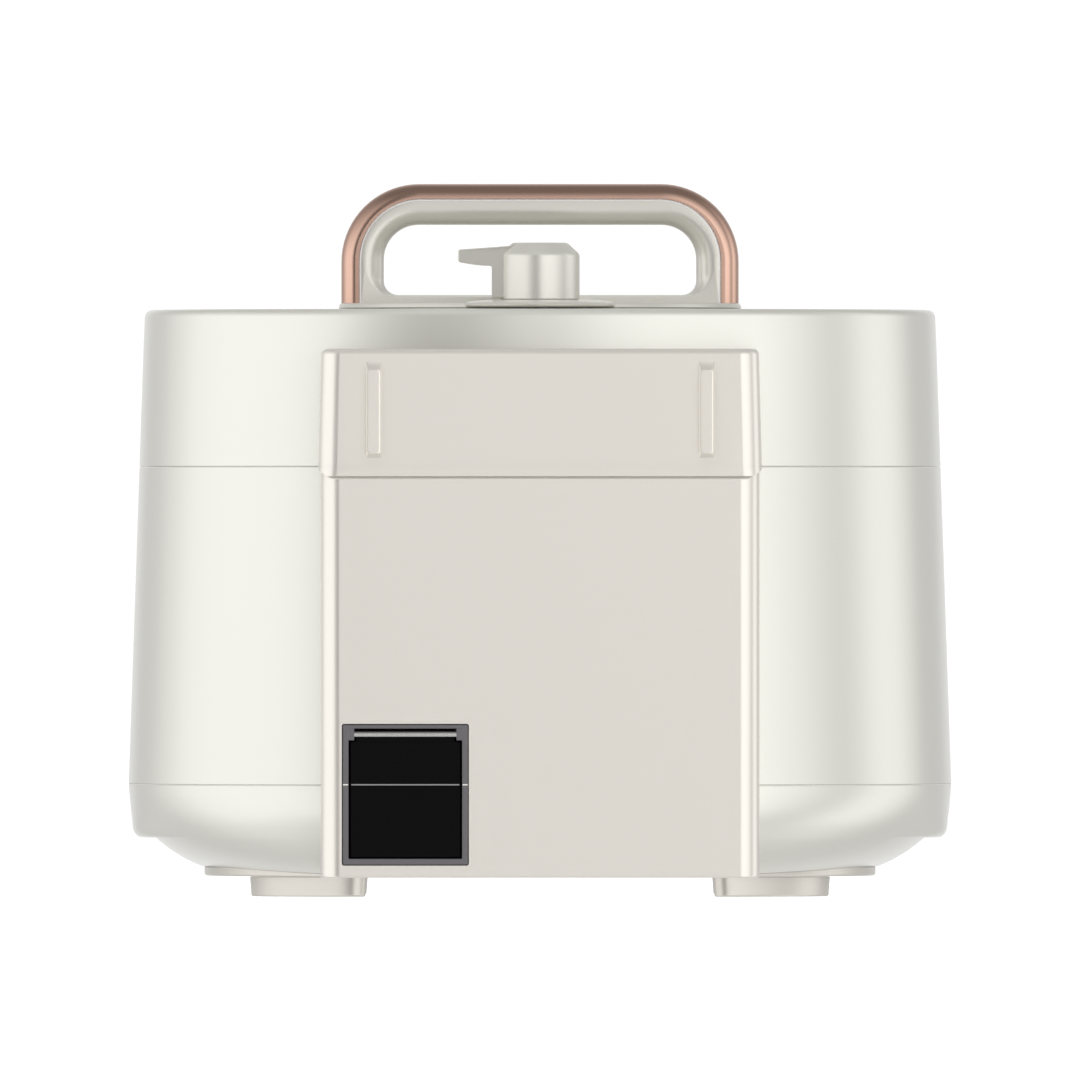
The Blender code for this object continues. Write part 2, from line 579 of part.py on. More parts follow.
def make_lid_lock():
    """Build the turning disc, its hub, the steel pressure lid and what it carries."""
    def edge(less):
        ring = []
        for a in angles(DISC_COUNT):
            turn = a - math.pi / 2
            reach = DISC_R
            side = VALVE_OUT * math.sin(turn)
            if math.cos(turn) > 0 and abs(side) < LOBE_R:
                reach = max(reach, VALVE_OUT * math.cos(turn)
                            + math.sqrt(LOBE_R ** 2 - side ** 2))
            reach -= less
            ring.append((reach * math.cos(a), OVAL_Y + reach * math.sin(a)))
        return ring
    rings = [[(x, y, z) for x, y in edge(less)] for z, less in
             ((DISC_TOP, 0.9), (DISC_TOP - 0.5, 0.1), (DISC_LOW + 0.3, 0.0), (DISC_LOW, 0.3))]
    rings += [circle(r, z, count=DISC_COUNT) for r, z in ((SKIRT_OUT, DISC_LOW), (SKIRT_OUT, SKIRT_LOW),
                                                 (SKIRT_IN, SKIRT_LOW), (SKIRT_IN, DISC_LOW))]
    disc = stack("turn_disc", rings, "cream")
    combine(disc, stack("cutter", [circle(4.8, z, 0, VALVE_Y, 16) for z in (240, 280)]))
    combine(disc, stack("cutter", [circle(4.1, z, 0, FLOAT_Y, 20) for z in (240, 280)]))

    lathe("retaining_ring", [(84.3, 253.8), (92.0, 253.8), (92.0, 257.0), (84.3, 257.0)],
          "mid_grey", count=40, closed=True)
    lathe("hub", [(18, 207.3), (34, 207.3), (34, 210.3), (22, 210.3), (22, 257.5), (34, 257.5),
                  (34, 260.5), (18, 260.5)], "aluminium", count=24, closed=True)

    lid = lathe("pressure_lid", [(84, 207), (101, 200), (109, 191), (110.5, TOOTH_HIGH),
                                 (TOOTH_R, TOOTH_HIGH), (TOOTH_R, TOOTH_LOW), (108, TOOTH_LOW),
                                 (106.8, 190), (99.8, 198.0), (83.6, 204.8)], "steel", count=36)
    for i in range(TOOTH_COUNT):
        middle = (i + 0.5) * 360.0 / TOOTH_COUNT
        combine(lid, sector("cutter", RIM_R, 126, 176, 188, middle,
                            360.0 / TOOTH_COUNT - TOOTH_DEG))
    combine(lid, stack("cutter", [circle(4.8, z, 0, VALVE_Y, 16) for z in (190, 220)]))
    combine(lid, stack("cutter", [circle(4.1, z, 0, FLOAT_Y, 20) for z in (190, 220)]))

    lathe("sealing_ring", [(104.5, 177.0), (113.0, 177.0), (113.0, 179.6), (111.6, 182.1),
                           (107.0, 182.1), (104.5, 179.6)], "silicone", count=36, closed=True)
    pipe = [(2.6, 203.0), (4.5, 203.0), (4.5, 207.3), (7.5, 207.3), (7.5, 209.3), (4.5, 209.3),
            (4.5, 272.0), (2.6, 272.0)]
    lathe("vent_pipe", pipe, "steel", 0, VALVE_Y, 16, True)
    lathe("anti_block_cap", [(9.0, 196.0), (9.0, 204.5), (7.8, 204.5), (7.8, 197.2)], "steel",
          0, VALVE_Y, 20)
    lathe("valve_dish", [(5.0, 263.5), (31.5, 263.5), (31.5, 263.8), (29.0, 264.3),
                         (18.0, 264.5), (5.0, 264.5)], "cream", 0, VALVE_Y, 28, True)
    seal = [(4.0, 201.8), (9.0, 201.8), (9.0, 204.5), (4.0, 204.5)]
    lathe("float_seal", seal, "silicone", 0, FLOAT_Y, 20, True)
    pin = lathe("float_pin", [(6.5, 191.0), (6.5, 195.5), (3.5, 196.5), (3.5, 263.0),
                              (2.7, 263.8)], "steel", 0, FLOAT_Y, 20)
    origin_at(pin, 0, FLOAT_Y, 200)


def make_valve():
    """Build the steam valve's knob with its thumb lever."""
    knob = lathe("valve_knob", [(16.6, 265.0), (17.4, 266.0), (17.5, 284.5), (16.6, 286.0),
                                (12.5, 289.3), (11.6, 289.8)], "cream", 0, VALVE_Y, 32)
    lever = ((9.0, 288.2), (11.5, 289.6), (12.6, 288.4), (36.2, 286.5), (36.2, 281.6),
             (35.0, 281.2), (21.4, 279.6), (21.4, 265.4), (9.0, 265.4))
    rings = []
    for y, thin in ((-7.5, 0.7), (-6.6, 0.0), (6.6, 0.0), (7.5, 0.7)):
        middle = (22.0, 280.0)
        rings.append([(u + (middle[0] - u) * thin * 0.03, VALVE_Y + y,
                       v + (middle[1] - v) * thin * 0.06) for u, v in lever])
    join(knob, stack("lever", rings))
    combine(knob, stack("cutter", [circle(6.0, z, 0, VALVE_Y, 16) for z in (255, 275.0)]))
    return origin_at(knob, 0, VALVE_Y, 265)


def make_handle():
    """Build the copper arch and the cream grip loop inside it."""
    h, top, r = HANDLE_HALF, HANDLE_TOP, HANDLE_RADIUS

    def arch(inset):
        outer = [p for p in rounded(-h + inset, h - inset, HANDLE_LOW, top - inset,
                                    (0.01, 0.01, r - inset, r - inset), 10)]
        ih, it = h - BAND_LEG + inset, top - BAND_TOP + inset
        ir = r - 7.4 + inset
        inner = [p for p in rounded(-ih, ih, HANDLE_LOW, it, (0.01, 0.01, ir, ir), 10)]
        size = 11
        outer = [(h - inset, HANDLE_LOW)] + outer[2 * size:] + [(-h + inset, HANDLE_LOW)]
        inner = [(ih, HANDLE_LOW)] + inner[2 * size:] + [(-ih, HANDLE_LOW)]
        return outer + inner[::-1]
    rings = []
    for y, inset in ((-BAND_DEPTH, 2.0), (-BAND_DEPTH + 0.7, 0.8), (-BAND_DEPTH + 2.2, 0.0),
                     (BAND_DEPTH - 2.2, 0.0), (BAND_DEPTH - 0.7, 0.8), (BAND_DEPTH, 2.0)):
        rings.append([(u, OVAL_Y + y, v) for u, v in arch(inset)])
    stack("handle_trim", rings, "copper")

    def loop(half, low, high, r_low, r_high, y):
        flat = rounded(-half, half, low, high, (r_low, r_low, r_high, r_high), 8)
        return [(u, OVAL_Y + y, v) for u, v in flat]
    oh, ot, orad = h - BAND_LEG - 0.3, top - BAND_TOP - 0.3, r - 7.7
    rings = []
    for y, inset in ((-GRIP_DEPTH, 6.5), (-GRIP_DEPTH + 2.5, 2.0), (-GRIP_DEPTH + 5.5, 0.0),
                     (GRIP_DEPTH - 5.5, 0.0), (GRIP_DEPTH - 2.5, 2.0), (GRIP_DEPTH, 6.5)):
        low_in = min(inset, 2.6)
        rings.append(loop(OPEN_HALF + inset, OPEN_LOW - low_in * 0.4, OPEN_TOP + inset * 0.8,
                          6.4 + inset, 15.5 + inset, y))
    for y in (GRIP_DEPTH, -GRIP_DEPTH):
        rings.append(loop(oh, HANDLE_LOW, ot, 0.5, orad, y))
    stack("handle_grip", rings, "cream", True)


def make_front():
    """Build the control panel with its display, knob and buttons."""
    panel = pad("control_panel", -PANEL_HALF, PANEL_HALF, PANEL_LOW, PANEL_HIGH, PANEL_BACK,
                PANEL_FACE, "y", "cream", radius=PANEL_RADIUS, edge=2.0, steps=4)
    hollow = rounded(-PANEL_HALF + 3, PANEL_HALF - 3, PANEL_LOW + 3, PANEL_HIGH - 3,
                     PANEL_RADIUS - 3, 4)
    combine(panel, prism("cutter", hollow, PANEL_FACE + 3.0, -120, "y"))
    pad("display_window", -38, 38, 128, 160, PANEL_FACE - 0.3, PANEL_FACE - 1.5, "y", "glass",
        radius=5.0, edge=0.5)
    combine(panel, turned("cutter", [(3.6, -160), (3.6, -120)], 0, KNOB_Z))
    turned("knob_ring", [(KNOB_R + 0.6, PANEL_FACE - 0.3), (KNOB_R + 5.0, PANEL_FACE - 0.3),
                         (KNOB_R + 4.6, PANEL_FACE - 2.6), (KNOB_R + 0.6, PANEL_FACE - 3.4)],
           0, KNOB_Z, "copper", closed=True)
    knob = turned("control_knob", [(3.0, -133.0), (3.0, PANEL_FACE - 0.4),
                                   (KNOB_R, PANEL_FACE - 0.4), (KNOB_R - 0.6, FRONT_FACE + 1.6),
                                   (KNOB_R - 2.2, FRONT_FACE)], 0, KNOB_Z, "cream")
    combine(knob, block("cutter", -0.8, 0.8, FRONT_FACE - 2, FRONT_FACE + 0.8,
                        KNOB_Z + 12, KNOB_Z + 20))
    origin_at(knob, 0, FRONT_FACE, KNOB_Z)
    for i, (x, z) in enumerate(BUTTON_SPOTS, 1):
        u0, u1, v0, v1 = x - BUTTON_W / 2, x + BUTTON_W / 2, z - BUTTON_H / 2, z + BUTTON_H / 2
        hole = rounded(u0 - 0.3, u1 + 0.3, v0 - 0.3, v1 + 0.3, BUTTON_H / 2 + 0.25, 4)
        combine(panel, prism("cutter", hole, -160, -120, "y"))
        button = pad("button_{}".format(i), u0, u1, v0, v1, -139.0, PANEL_FACE - 1.8, "y",
                     "cream", radius=BUTTON_H / 2 - 0.05, edge=0.7, steps=4)
        origin_at(button, x, PANEL_FACE, z)
    for side in (-1, 1):
        x = side * (PANEL_HALF - 8)
        join(panel, block("post", x - 2, x + 2, -142.5, -125.9, 114, 122))


def main():
    """Clear the scene and build every node."""
    for old in list(bpy.data.objects):
        bpy.data.objects.remove(old, do_unlink=True)
    make_body()
    make_rear_housing()
    make_inlet()
    make_lid()
    make_vessel()
    make_boards()
    make_lid_lock()
    make_valve()
    make_handle()
    make_front()
    for node in bpy.data.objects:
        smooth(node)


main()
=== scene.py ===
"""Looks for the electric pressure cooker: fine outer shells, finishes, light and camera.

Every size is in millimetres in the row frame (+Z up, front -Y, rear +Y); meshes are in metres.
"""
import logging
import math
from dataclasses import dataclass, field
from enum import Enum
from typing import Callable, Sequence

import bmesh
import bpy
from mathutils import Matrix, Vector


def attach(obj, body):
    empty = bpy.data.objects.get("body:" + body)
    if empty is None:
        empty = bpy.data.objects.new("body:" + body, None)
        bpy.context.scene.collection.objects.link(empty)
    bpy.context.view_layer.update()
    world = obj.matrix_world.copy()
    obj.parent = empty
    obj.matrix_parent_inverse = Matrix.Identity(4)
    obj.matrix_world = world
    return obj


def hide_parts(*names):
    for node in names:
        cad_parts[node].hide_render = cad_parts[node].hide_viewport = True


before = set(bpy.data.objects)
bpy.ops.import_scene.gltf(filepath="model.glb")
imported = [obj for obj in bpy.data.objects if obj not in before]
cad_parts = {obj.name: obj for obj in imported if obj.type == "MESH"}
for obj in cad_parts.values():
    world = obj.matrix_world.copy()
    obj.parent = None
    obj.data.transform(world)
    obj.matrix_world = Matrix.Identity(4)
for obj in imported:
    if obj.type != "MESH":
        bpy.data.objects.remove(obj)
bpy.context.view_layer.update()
log = logging.getLogger("cooker")

MM = 0.001
Ring = list[Vector]
Flat = list[tuple[float, float]]
Piece = bpy.types.Object
Look = bpy.types.Material
Looks = dict[str, Look]
Tree = bpy.types.NodeTree
Node = bpy.types.Node


class Ends(Enum):
    """How the first and last ring of a lofted piece are finished."""

    CAPPED = "capped"
    OPEN = "open"
    JOINED = "joined"


class Join(Enum):
    """How a second solid is combined with a piece."""

    CUT = "DIFFERENCE"
    ADD = "UNION"
    KEEP = "INTERSECT"


class Axis(Enum):
    """The direction that a flat outline is extruded in."""

    X = "x"
    Y = "y"
    Z = "z"


class Brush(Enum):
    """The direction that fine machining lines run in on a metal."""

    ALONG_X = (0.02, 1.0, 1.0)
    ROUND = (1.0, 1.0, 0.0)
    NONE = (1.0, 1.0, 1.0)


# ---------------------------------------------------------------- rings and solids


def turns(count: int) -> list[float]:
    """Return equal angles round a full turn."""
    return [math.tau * i / count for i in range(count)]


def circle(radius: float, u: float, v: float, count: int) -> Flat:
    """Return a circle's points about (u, v)."""
    return [(u + radius * math.cos(a), v + radius * math.sin(a)) for a in turns(count)]


def circle_ring(radius: float, z: float, x: float = 0.0, y: float = 0.0, count: int = 128) -> Ring:
    """Return a level ring about (x, y)."""
    return lift(circle(radius, x, y, count), z, Axis.Z)


def upright_ring(radius: float, y: float, x: float, z: float, count: int = 96) -> Ring:
    """Return a ring about an axis along Y."""
    return lift(circle(radius, x, z, count), y, Axis.Y)


def cross_ring(radius: float, x: float, y: float, z: float, count: int = 48) -> Ring:
    """Return a ring about an axis along X."""
    return lift(circle(radius, y, z, count), x, Axis.X)


def rounded(u0: float, u1: float, v0: float, v1: float, radii: Sequence[float],
            steps: int = 8) -> Flat:
    """Return a rectangle with arcs for corners.

    Args:
        u0, u1, v0, v1: the rectangle's sides.
        radii: corner radii, from the low corner round by the high u side.
        steps: facets in each corner.

    Returns:
        The outline's points in order.
    """
    corners = ((u0, v0, 1, 1, 180), (u1, v0, -1, 1, 270), (u1, v1, -1, -1, 0),
               (u0, v1, 1, -1, 90))
    outline = []
    for (u, v, du, dv, start), r in zip(corners, radii):
        for i in range(steps + 1):
            a = math.radians(start + 90 * i / steps)
            outline.append((u + du * r + r * math.cos(a), v + dv * r + r * math.sin(a)))
    return outline


def lift(outline: Flat, depth: float, axis: Axis) -> Ring:
    """Place a flat outline in space at a depth along an axis."""
    place: dict[Axis, Callable[[float, float], tuple[float, float, float]]] = {
        Axis.X: lambda u, v: (depth, u, v),
        Axis.Y: lambda u, v: (u, depth, v),
        Axis.Z: lambda u, v: (u, v, depth),
    }
    return [Vector(place[axis](u, v)) * MM for u, v in outline]


def bend(radius: float, steps: int = 5) -> list[tuple[float, float]]:
    """Return (inset, drop) pairs round a quarter turn, from the side to the face."""
    quarter = [math.pi / 2 * i / steps for i in range(steps + 1)]
    return [(radius * (1 - math.cos(a)), radius * (1 - math.sin(a))) for a in quarter]


def ease(value: float) -> float:
    """Return a value held between 0 and 1 and eased at both ends."""
    share = min(1.0, max(0.0, value))
    return share * share * (3 - 2 * share)


def select_only(piece: Piece) -> None:
    """Select one object and make it active."""
    bpy.ops.object.select_all(action="DESELECT")
    piece.select_set(True)
    bpy.context.view_layer.objects.active = piece


def loft(name: str, rings: Sequence[Ring], ends: Ends = Ends.CAPPED) -> Piece:
    """Extrude a circle's edge from ring to ring.

    Args:
        name: the piece's name.
        rings: rings of equal length, in metres.
        ends: whether the ends are capped, open, or joined to each other.

    Returns:
        The new piece, with its place in its mesh.
    """
    bpy.ops.object.select_all(action="DESELECT")
    fill = "NGON" if ends is Ends.CAPPED else "NOTHING"
    bpy.ops.mesh.primitive_circle_add(vertices=len(rings[0]), radius=0.1, fill_type=fill)
    piece = bpy.context.object
    piece.name = piece.data.name = name
    order = piece.data.attributes.new("order", "INT", "POINT")
    order.data.foreach_set("value", range(len(rings[0])))
    bpy.ops.object.mode_set(mode="EDIT")
    bpy.ops.mesh.select_all(action="SELECT")
    stops = list(rings) + (list(rings[:1]) if ends is Ends.JOINED else [])
    for step, ring in enumerate(stops):
        if step:
            bpy.ops.mesh.extrude_edges_move()
        work = bmesh.from_edit_mesh(piece.data)
        layer = work.verts.layers.int["order"]
        for vertex in work.verts:
            if vertex.select:
                vertex.co = ring[vertex[layer]]
        bmesh.update_edit_mesh(piece.data)
    if ends is Ends.CAPPED:
        bpy.ops.mesh.edge_face_add()
    bpy.ops.mesh.select_all(action="SELECT")
    bpy.ops.mesh.remove_doubles(threshold=1e-6)
    bpy.ops.mesh.normals_make_consistent(inside=False)
    bpy.ops.object.mode_set(mode="OBJECT")
    piece.data.attributes.remove(piece.data.attributes["order"])
    return piece


def prism(name: str, outline: Flat, low: float, high: float, axis: Axis) -> Piece:
    """Extrude a flat outline between two depths."""
    return loft(name, [lift(outline, low, axis), lift(outline, high, axis)])


def block(name: str, low: Sequence[float], high: Sequence[float],
          soft: float = 0.0) -> Piece:
    """Return a box between two corners, its edges rounded by soft."""
    middle = [(a + b) / 2 * MM for a, b in zip(low, high)]
    size = [(b - a) * MM for a, b in zip(low, high)]
    bpy.ops.object.select_all(action="DESELECT")
    bpy.ops.mesh.primitive_cube_add(size=1.0, location=middle, scale=size)
    piece = bpy.context.object
    piece.name = piece.data.name = name
    bpy.ops.object.transform_apply(location=True, rotation=True, scale=True)
    if soft:
        bpy.ops.object.mode_set(mode="EDIT")
        bpy.ops.mesh.select_all(action="SELECT")
        bpy.ops.mesh.bevel(offset=soft * MM, segments=4, affect="EDGES")
        bpy.ops.object.mode_set(mode="OBJECT")
    return piece


def combine(piece: Piece, other: Piece,
            how: Join = Join.CUT) -> Piece:
    """Apply a Boolean with a second solid, which is then removed."""
    select_only(piece)
    modifier = piece.modifiers.new("combine", "BOOLEAN")
    modifier.operation = how.value
    modifier.solver = "EXACT"
    modifier.object = other
    bpy.ops.object.modifier_apply(modifier=modifier.name)
    bpy.data.objects.remove(other, do_unlink=True)
    return piece


def cut(piece: Piece, outline: Flat, low: float, high: float, axis: Axis) -> Piece:
    """Cut an outline's shape out of a piece between two depths."""
    return combine(piece, prism("cutter", outline, low, high, axis))


def cut_loft(piece: Piece, rings: Sequence[Ring], ends: Ends = Ends.CAPPED) -> Piece:
    """Cut the solid through some rings out of a piece."""
    return combine(piece, loft("cutter", rings, ends))


def polish(piece: Piece, sharp_deg: float = 32.0) -> Piece:
    """Shade a piece smooth up to its real edges, with flat faces kept flat."""
    select_only(piece)
    bpy.ops.object.shade_smooth_by_angle(angle=math.radians(sharp_deg))
    modifier = piece.modifiers.new("flat_faces", "WEIGHTED_NORMAL")
    modifier.keep_sharp = True
    bpy.ops.object.modifier_apply(modifier=modifier.name)
    return piece


def paint_highlight(piece: Piece, test: Callable[[Vector], bool], material: Look) -> None:
    """Give the faces whose centre, in millimetres, passes a test a second finish: a matt colour
    painted on as a highlight.
    """
    piece.data.materials.append(material)
    for face in piece.data.polygons:
        if test(face.center / MM):
            face.material_index = 1


def notches(piece: Piece, count: int, keep_deg: float, turn: float, near: float, far: float,
            low: float, high: float) -> Piece:
    """Cut gaps round a ring so that evenly spaced teeth are left.

    Args:
        piece: the ring.
        count: how many teeth.
        keep_deg: the width of each tooth.
        turn: where the first gap's middle is, as a share of the teeth's spacing.
        near, far: the gaps' inner and outer radii.
        low, high: the gaps' lower and upper ends.

    Returns:
        The piece.
    """
    gap = math.radians((360.0 / count - keep_deg) / 2)
    for i in range(count):
        middle = math.tau * (i + turn) / count
        spread = [middle - gap + 2 * gap * k / 16 for k in range(17)]
        edge = [(r * math.cos(a), OVAL.centre_y + r * math.sin(a))
                for r, way in ((far, spread), (near, spread[::-1])) for a in way]
        cut(piece, edge, low, high, Axis.Z)
    return piece


# ---------------------------------------------------------------- finishes


def linear(hex_colour: str) -> tuple[float, float, float, float]:
    """Turn an sRGB hex colour into a linear colour with alpha."""
    parts = [int(hex_colour[i:i + 2], 16) / 255 for i in (1, 3, 5)]
    return (*(c / 12.92 if c <= 0.04045 else ((c + 0.055) / 1.055) ** 2.4 for c in parts), 1.0)


def add_node(tree: Tree, kind: str, settings: dict | None = None,
             links: dict | None = None) -> Node:
    """Add a node with its settings and the links into it.

    Args:
        tree: the node tree.
        kind: the node's type name.
        settings: attribute or socket names with their values.
        links: socket names with the output sockets that feed them.

    Returns:
        The new node.
    """
    node = tree.nodes.new(kind)
    for key, value in (settings or {}).items():
        if isinstance(key, str) and hasattr(node, key):
            setattr(node, key, value)
        else:
            node.inputs[key].default_value = value
    for key, source in (links or {}).items():
        tree.links.new(source, node.inputs[key])
    return node


@dataclass(frozen=True)
class Finish:
    """A surface: its shader values, and the shared start of its node tree."""

    name: str
    colour: str
    roughness: float = 0.4
    metallic: float = 0.0
    coat: float = 0.0
    coat_roughness: float = 0.1
    ior: float = 1.5
    specular: float = 0.5

    def start(self) -> tuple[Look, Tree, Node, object]:
        """Return the material, its tree, its shader and its object coordinates."""
        material = bpy.data.materials.new(self.name)
        material.use_nodes = True
        tree = material.node_tree
        shader = tree.nodes["Principled BSDF"]
        values = {"Base Color": linear(self.colour), "Roughness": self.roughness,
                  "Metallic": self.metallic, "Coat Weight": self.coat,
                  "Coat Roughness": self.coat_roughness, "IOR": self.ior,
                  "Specular IOR Level": self.specular}
        for socket, value in values.items():
            shader.inputs[socket].default_value = value
        material.diffuse_color = linear(self.colour)
        place = add_node(tree, "ShaderNodeTexCoord").outputs["Object"]
        return material, tree, shader, place

    def noise(self, tree: Tree, vector: object, size_mm: float, detail: float,
              roughness: float = 0.5) -> object:
        """Return the height of a noise whose patches have a real size."""
        settings = {"Scale": 1 / (size_mm * MM), "Detail": detail, "Roughness": roughness}
        return add_node(tree, "ShaderNodeTexNoise", settings, {"Vector": vector}).outputs["Fac"]

    def wear(self, tree: Tree, shader: Node, height: object, low: float, high: float) -> None:
        """Vary the roughness between two shares of its value."""
        wear = add_node(tree, "ShaderNodeMapRange",
                        {"To Min": self.roughness * low, "To Max": self.roughness * high},
                        {"Value": height})
        tree.links.new(wear.outputs["Result"], shader.inputs["Roughness"])

    def relief(self, tree: Tree, shader: Node, height: object, depth_mm: float,
               strength: float = 1.0, under: object | None = None) -> object:
        """Give the surface a relief of a real depth, over another if there is one."""
        links = {"Height": height}
        if under is not None:
            links["Normal"] = under
        bump = add_node(tree, "ShaderNodeBump", {"Strength": strength, "Distance": depth_mm * MM},
                        links)
        tree.links.new(bump.outputs["Normal"], shader.inputs["Normal"])
        return bump.outputs["Normal"]

    def blotch(self, tree: Tree, shader: Node, place: object, size_mm: float,
               spread: float) -> None:
        """Vary the colour and the roughness softly over patches of a real size."""
        patches = self.noise(tree, place, size_mm, 3.0)
        base = linear(self.colour)
        dark = tuple(c * (1 - spread) for c in base[:3]) + (1.0,)
        pale = tuple(min(1.0, c * (1 + spread * 0.6)) for c in base[:3]) + (1.0,)
        mix = add_node(tree, "ShaderNodeMix", {"data_type": "RGBA"}, {0: patches})
        mix.inputs[6].default_value = dark
        mix.inputs[7].default_value = pale
        tree.links.new(mix.outputs[2], shader.inputs["Base Color"])
        self.wear(tree, shader, patches, 0.92, 1.08)


@dataclass(frozen=True)
class MouldedPlastic(Finish):
    """Injection-moulded ABS: a fine spark-eroded grain that softens its reflections."""

    grain_mm: float = 1.1
    grain_height_mm: float = 0.012
    patch_mm: float = 60.0
    spread: float = 0.0

    def build(self) -> Look:
        """Return the material."""
        material, tree, shader, place = self.start()
        if self.spread:
            self.blotch(tree, shader, place, self.patch_mm, self.spread)
        # The true grain is near 0.1 mm; it is drawn coarser so that it shows at all.
        grain = self.noise(tree, place, self.grain_mm, 4.0, 0.6)
        self.relief(tree, shader, grain, self.grain_height_mm)
        return material


@dataclass(frozen=True)
class PearlPaint(Finish):
    """Pearl lacquer on ABS: mica flakes give a soft metallic lustre under a thin clear coat."""

    flake_mm: float = 0.9
    flake_height_mm: float = 0.004
    peel_mm: float = 7.0
    peel_height_mm: float = 0.010

    def build(self) -> Look:
        """Return the material."""
        material, tree, shader, place = self.start()
        # Real flakes are about 0.03 mm; they are drawn near a millimetre so that they show.
        flakes = add_node(tree, "ShaderNodeTexVoronoi", {"Scale": 1 / (self.flake_mm * MM)},
                          {"Vector": place})
        fine = self.relief(tree, shader, flakes.outputs["Distance"], self.flake_height_mm, 0.5)
        peel = self.noise(tree, place, self.peel_mm, 2.0)
        self.relief(tree, shader, peel, self.peel_height_mm, under=fine)
        return material


@dataclass(frozen=True)
class WorkedMetal(Finish):
    """Brushed, turned or anodised metal: fine lines that stretch its highlights one way."""

    brush: Brush = Brush.NONE
    line_mm: float = 0.7
    line_height_mm: float = 0.006

    def build(self) -> Look:
        """Return the material."""
        material, tree, shader, place = self.start()
        if self.brush is Brush.ROUND:
            split = add_node(tree, "ShaderNodeSeparateXYZ", None, {"Vector": place})
            radius = add_node(tree, "ShaderNodeVectorMath", {"operation": "MULTIPLY"},
                              {0: place})
            radius.inputs[1].default_value = self.brush.value
            length = add_node(tree, "ShaderNodeVectorMath", {"operation": "LENGTH"},
                              {0: radius.outputs["Vector"]})
            lines_at = add_node(tree, "ShaderNodeCombineXYZ", None,
                                {"X": length.outputs["Value"], "Y": split.outputs["Z"]})
            vector = lines_at.outputs["Vector"]
        else:
            scaled = add_node(tree, "ShaderNodeMapping", None, {"Vector": place})
            scaled.inputs["Scale"].default_value = self.brush.value
            vector = scaled.outputs["Vector"]
        # Real brushing is under 0.1 mm apart; it is drawn wider so that it shows.
        lines = self.noise(tree, vector, self.line_mm, 5.0, 0.7)
        self.wear(tree, shader, lines, 0.8, 1.25)
        self.relief(tree, shader, lines, self.line_height_mm, 0.6)
        return material


@dataclass(frozen=True)
class CircuitBoard(Finish):
    """Glass-epoxy board under green solder mask, with paler tracks showing through."""

    def build(self) -> Look:
        """Return the material."""
        material, tree, shader, place = self.start()
        tracks = add_node(tree, "ShaderNodeTexBrick",
                          {"Scale": 1 / (18 * MM), "Mortar Size": 0.03}, {"Vector": place})
        tracks.inputs["Color1"].default_value = linear(self.colour)
        tracks.inputs["Color2"].default_value = linear("#14532A")
        tracks.inputs["Mortar"].default_value = linear("#2F7D46")
        tree.links.new(tracks.outputs["Color"], shader.inputs["Base Color"])
        return material


FINISHES: dict[str, MouldedPlastic | PearlPaint | WorkedMetal | CircuitBoard] = {
    "pearl": PearlPaint("pearl_cream_lacquer", "#E0DFD7", roughness=0.28, metallic=0.45, coat=0.6,
                        coat_roughness=0.22),
    "satin": MouldedPlastic("satin_cream_abs", "#E6E1D9", roughness=0.24, metallic=0.5,
                            grain_height_mm=0.004),
    "grip": MouldedPlastic("cream_grip_abs", "#DAD8D0", roughness=0.28, metallic=0.45,
                           grain_height_mm=0.004),
    # A pale matt colour for the hairlines along seams and edges: a painted highlight that stands
    # for light caught there.
    "line": MouldedPlastic("pale_matt_painted_seam_highlight", "#EDEBE4", roughness=0.9, specular=0.1),
    # A grey matt colour for the raised line across the black flap: a painted highlight.
    "dim_line": MouldedPlastic("grey_matt_painted_line_highlight", "#929292", roughness=0.9, specular=0.1),
    # A white matt colour for the narrow chamfer beside the copper band: a painted highlight.
    "rim": MouldedPlastic("white_matt_painted_rim_highlight", "#FFFFFF", roughness=0.9, specular=0.1),
    "foot": MouldedPlastic("soft_cream_foot", "#D2CEC6", roughness=0.3, metallic=0.45,
                           grain_height_mm=0.004),
    "copper": WorkedMetal("anodised_copper_band", "#CCA998", roughness=0.24, metallic=1.0,
                          line_mm=0.8, line_height_mm=0.0015),
    "black": MouldedPlastic("matt_black_pbt", "#0A0A0A", roughness=0.5, specular=0.05),
    "smoke": MouldedPlastic("dark_grey_pbt", "#646264", roughness=0.42, spread=0.05),
    "liner": MouldedPlastic("grey_polypropylene", "#8D8D8B", roughness=0.5, spread=0.03),
    "stainless": WorkedMetal("spun_stainless_steel", "#C9C7C4", roughness=0.24, metallic=1.0,
                             brush=Brush.ROUND),
    "plated": WorkedMetal("plated_spring_steel", "#C6C5C3", roughness=0.22, metallic=1.0,
                          brush=Brush.ALONG_X),
    "cast": WorkedMetal("die_cast_aluminium", "#B9BABC", roughness=0.45, metallic=1.0,
                        line_mm=1.4, line_height_mm=0.02),
    "silicone": MouldedPlastic("milky_silicone", "#DAD9D4", roughness=0.55, ior=1.41,
                               grain_mm=2.0, spread=0.03),
    "screen": MouldedPlastic("smoked_acrylic_window", "#08090B", roughness=0.08, coat=0.8,
                             grain_height_mm=0.0005),
    "board": CircuitBoard("green_circuit_board", "#1A6B34", roughness=0.5),
}


@dataclass
class Assembly:
    """What the sub-assemblies share: the body they ride on and how a piece is placed."""

    body: str
    pieces: list[str] = field(default_factory=list)

    def add(self, piece: Piece, node: str, material: Look,
            sharp_deg: float = 32.0) -> Piece:
        """Finish a piece, dress it and let it stand for a node of the frame.

        Args:
            piece: the new object.
            node: the frame's node that it replaces.
            material: its finish.
            sharp_deg: edges steeper than this stay sharp.

        Returns:
            The piece.
        """
        polish(piece, sharp_deg)
        piece.data.materials.clear()
        piece.data.materials.append(material)
        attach(piece, self.body)
        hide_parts(node)
        self.pieces.append(piece.name)
        return piece

    def dress(self, nodes: Sequence[str], material: Look) -> None:
        """Give nodes that keep their own shape a finish."""
        for node in nodes:
            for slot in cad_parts[node].material_slots:
                slot.material = material
            self.pieces.append(node)


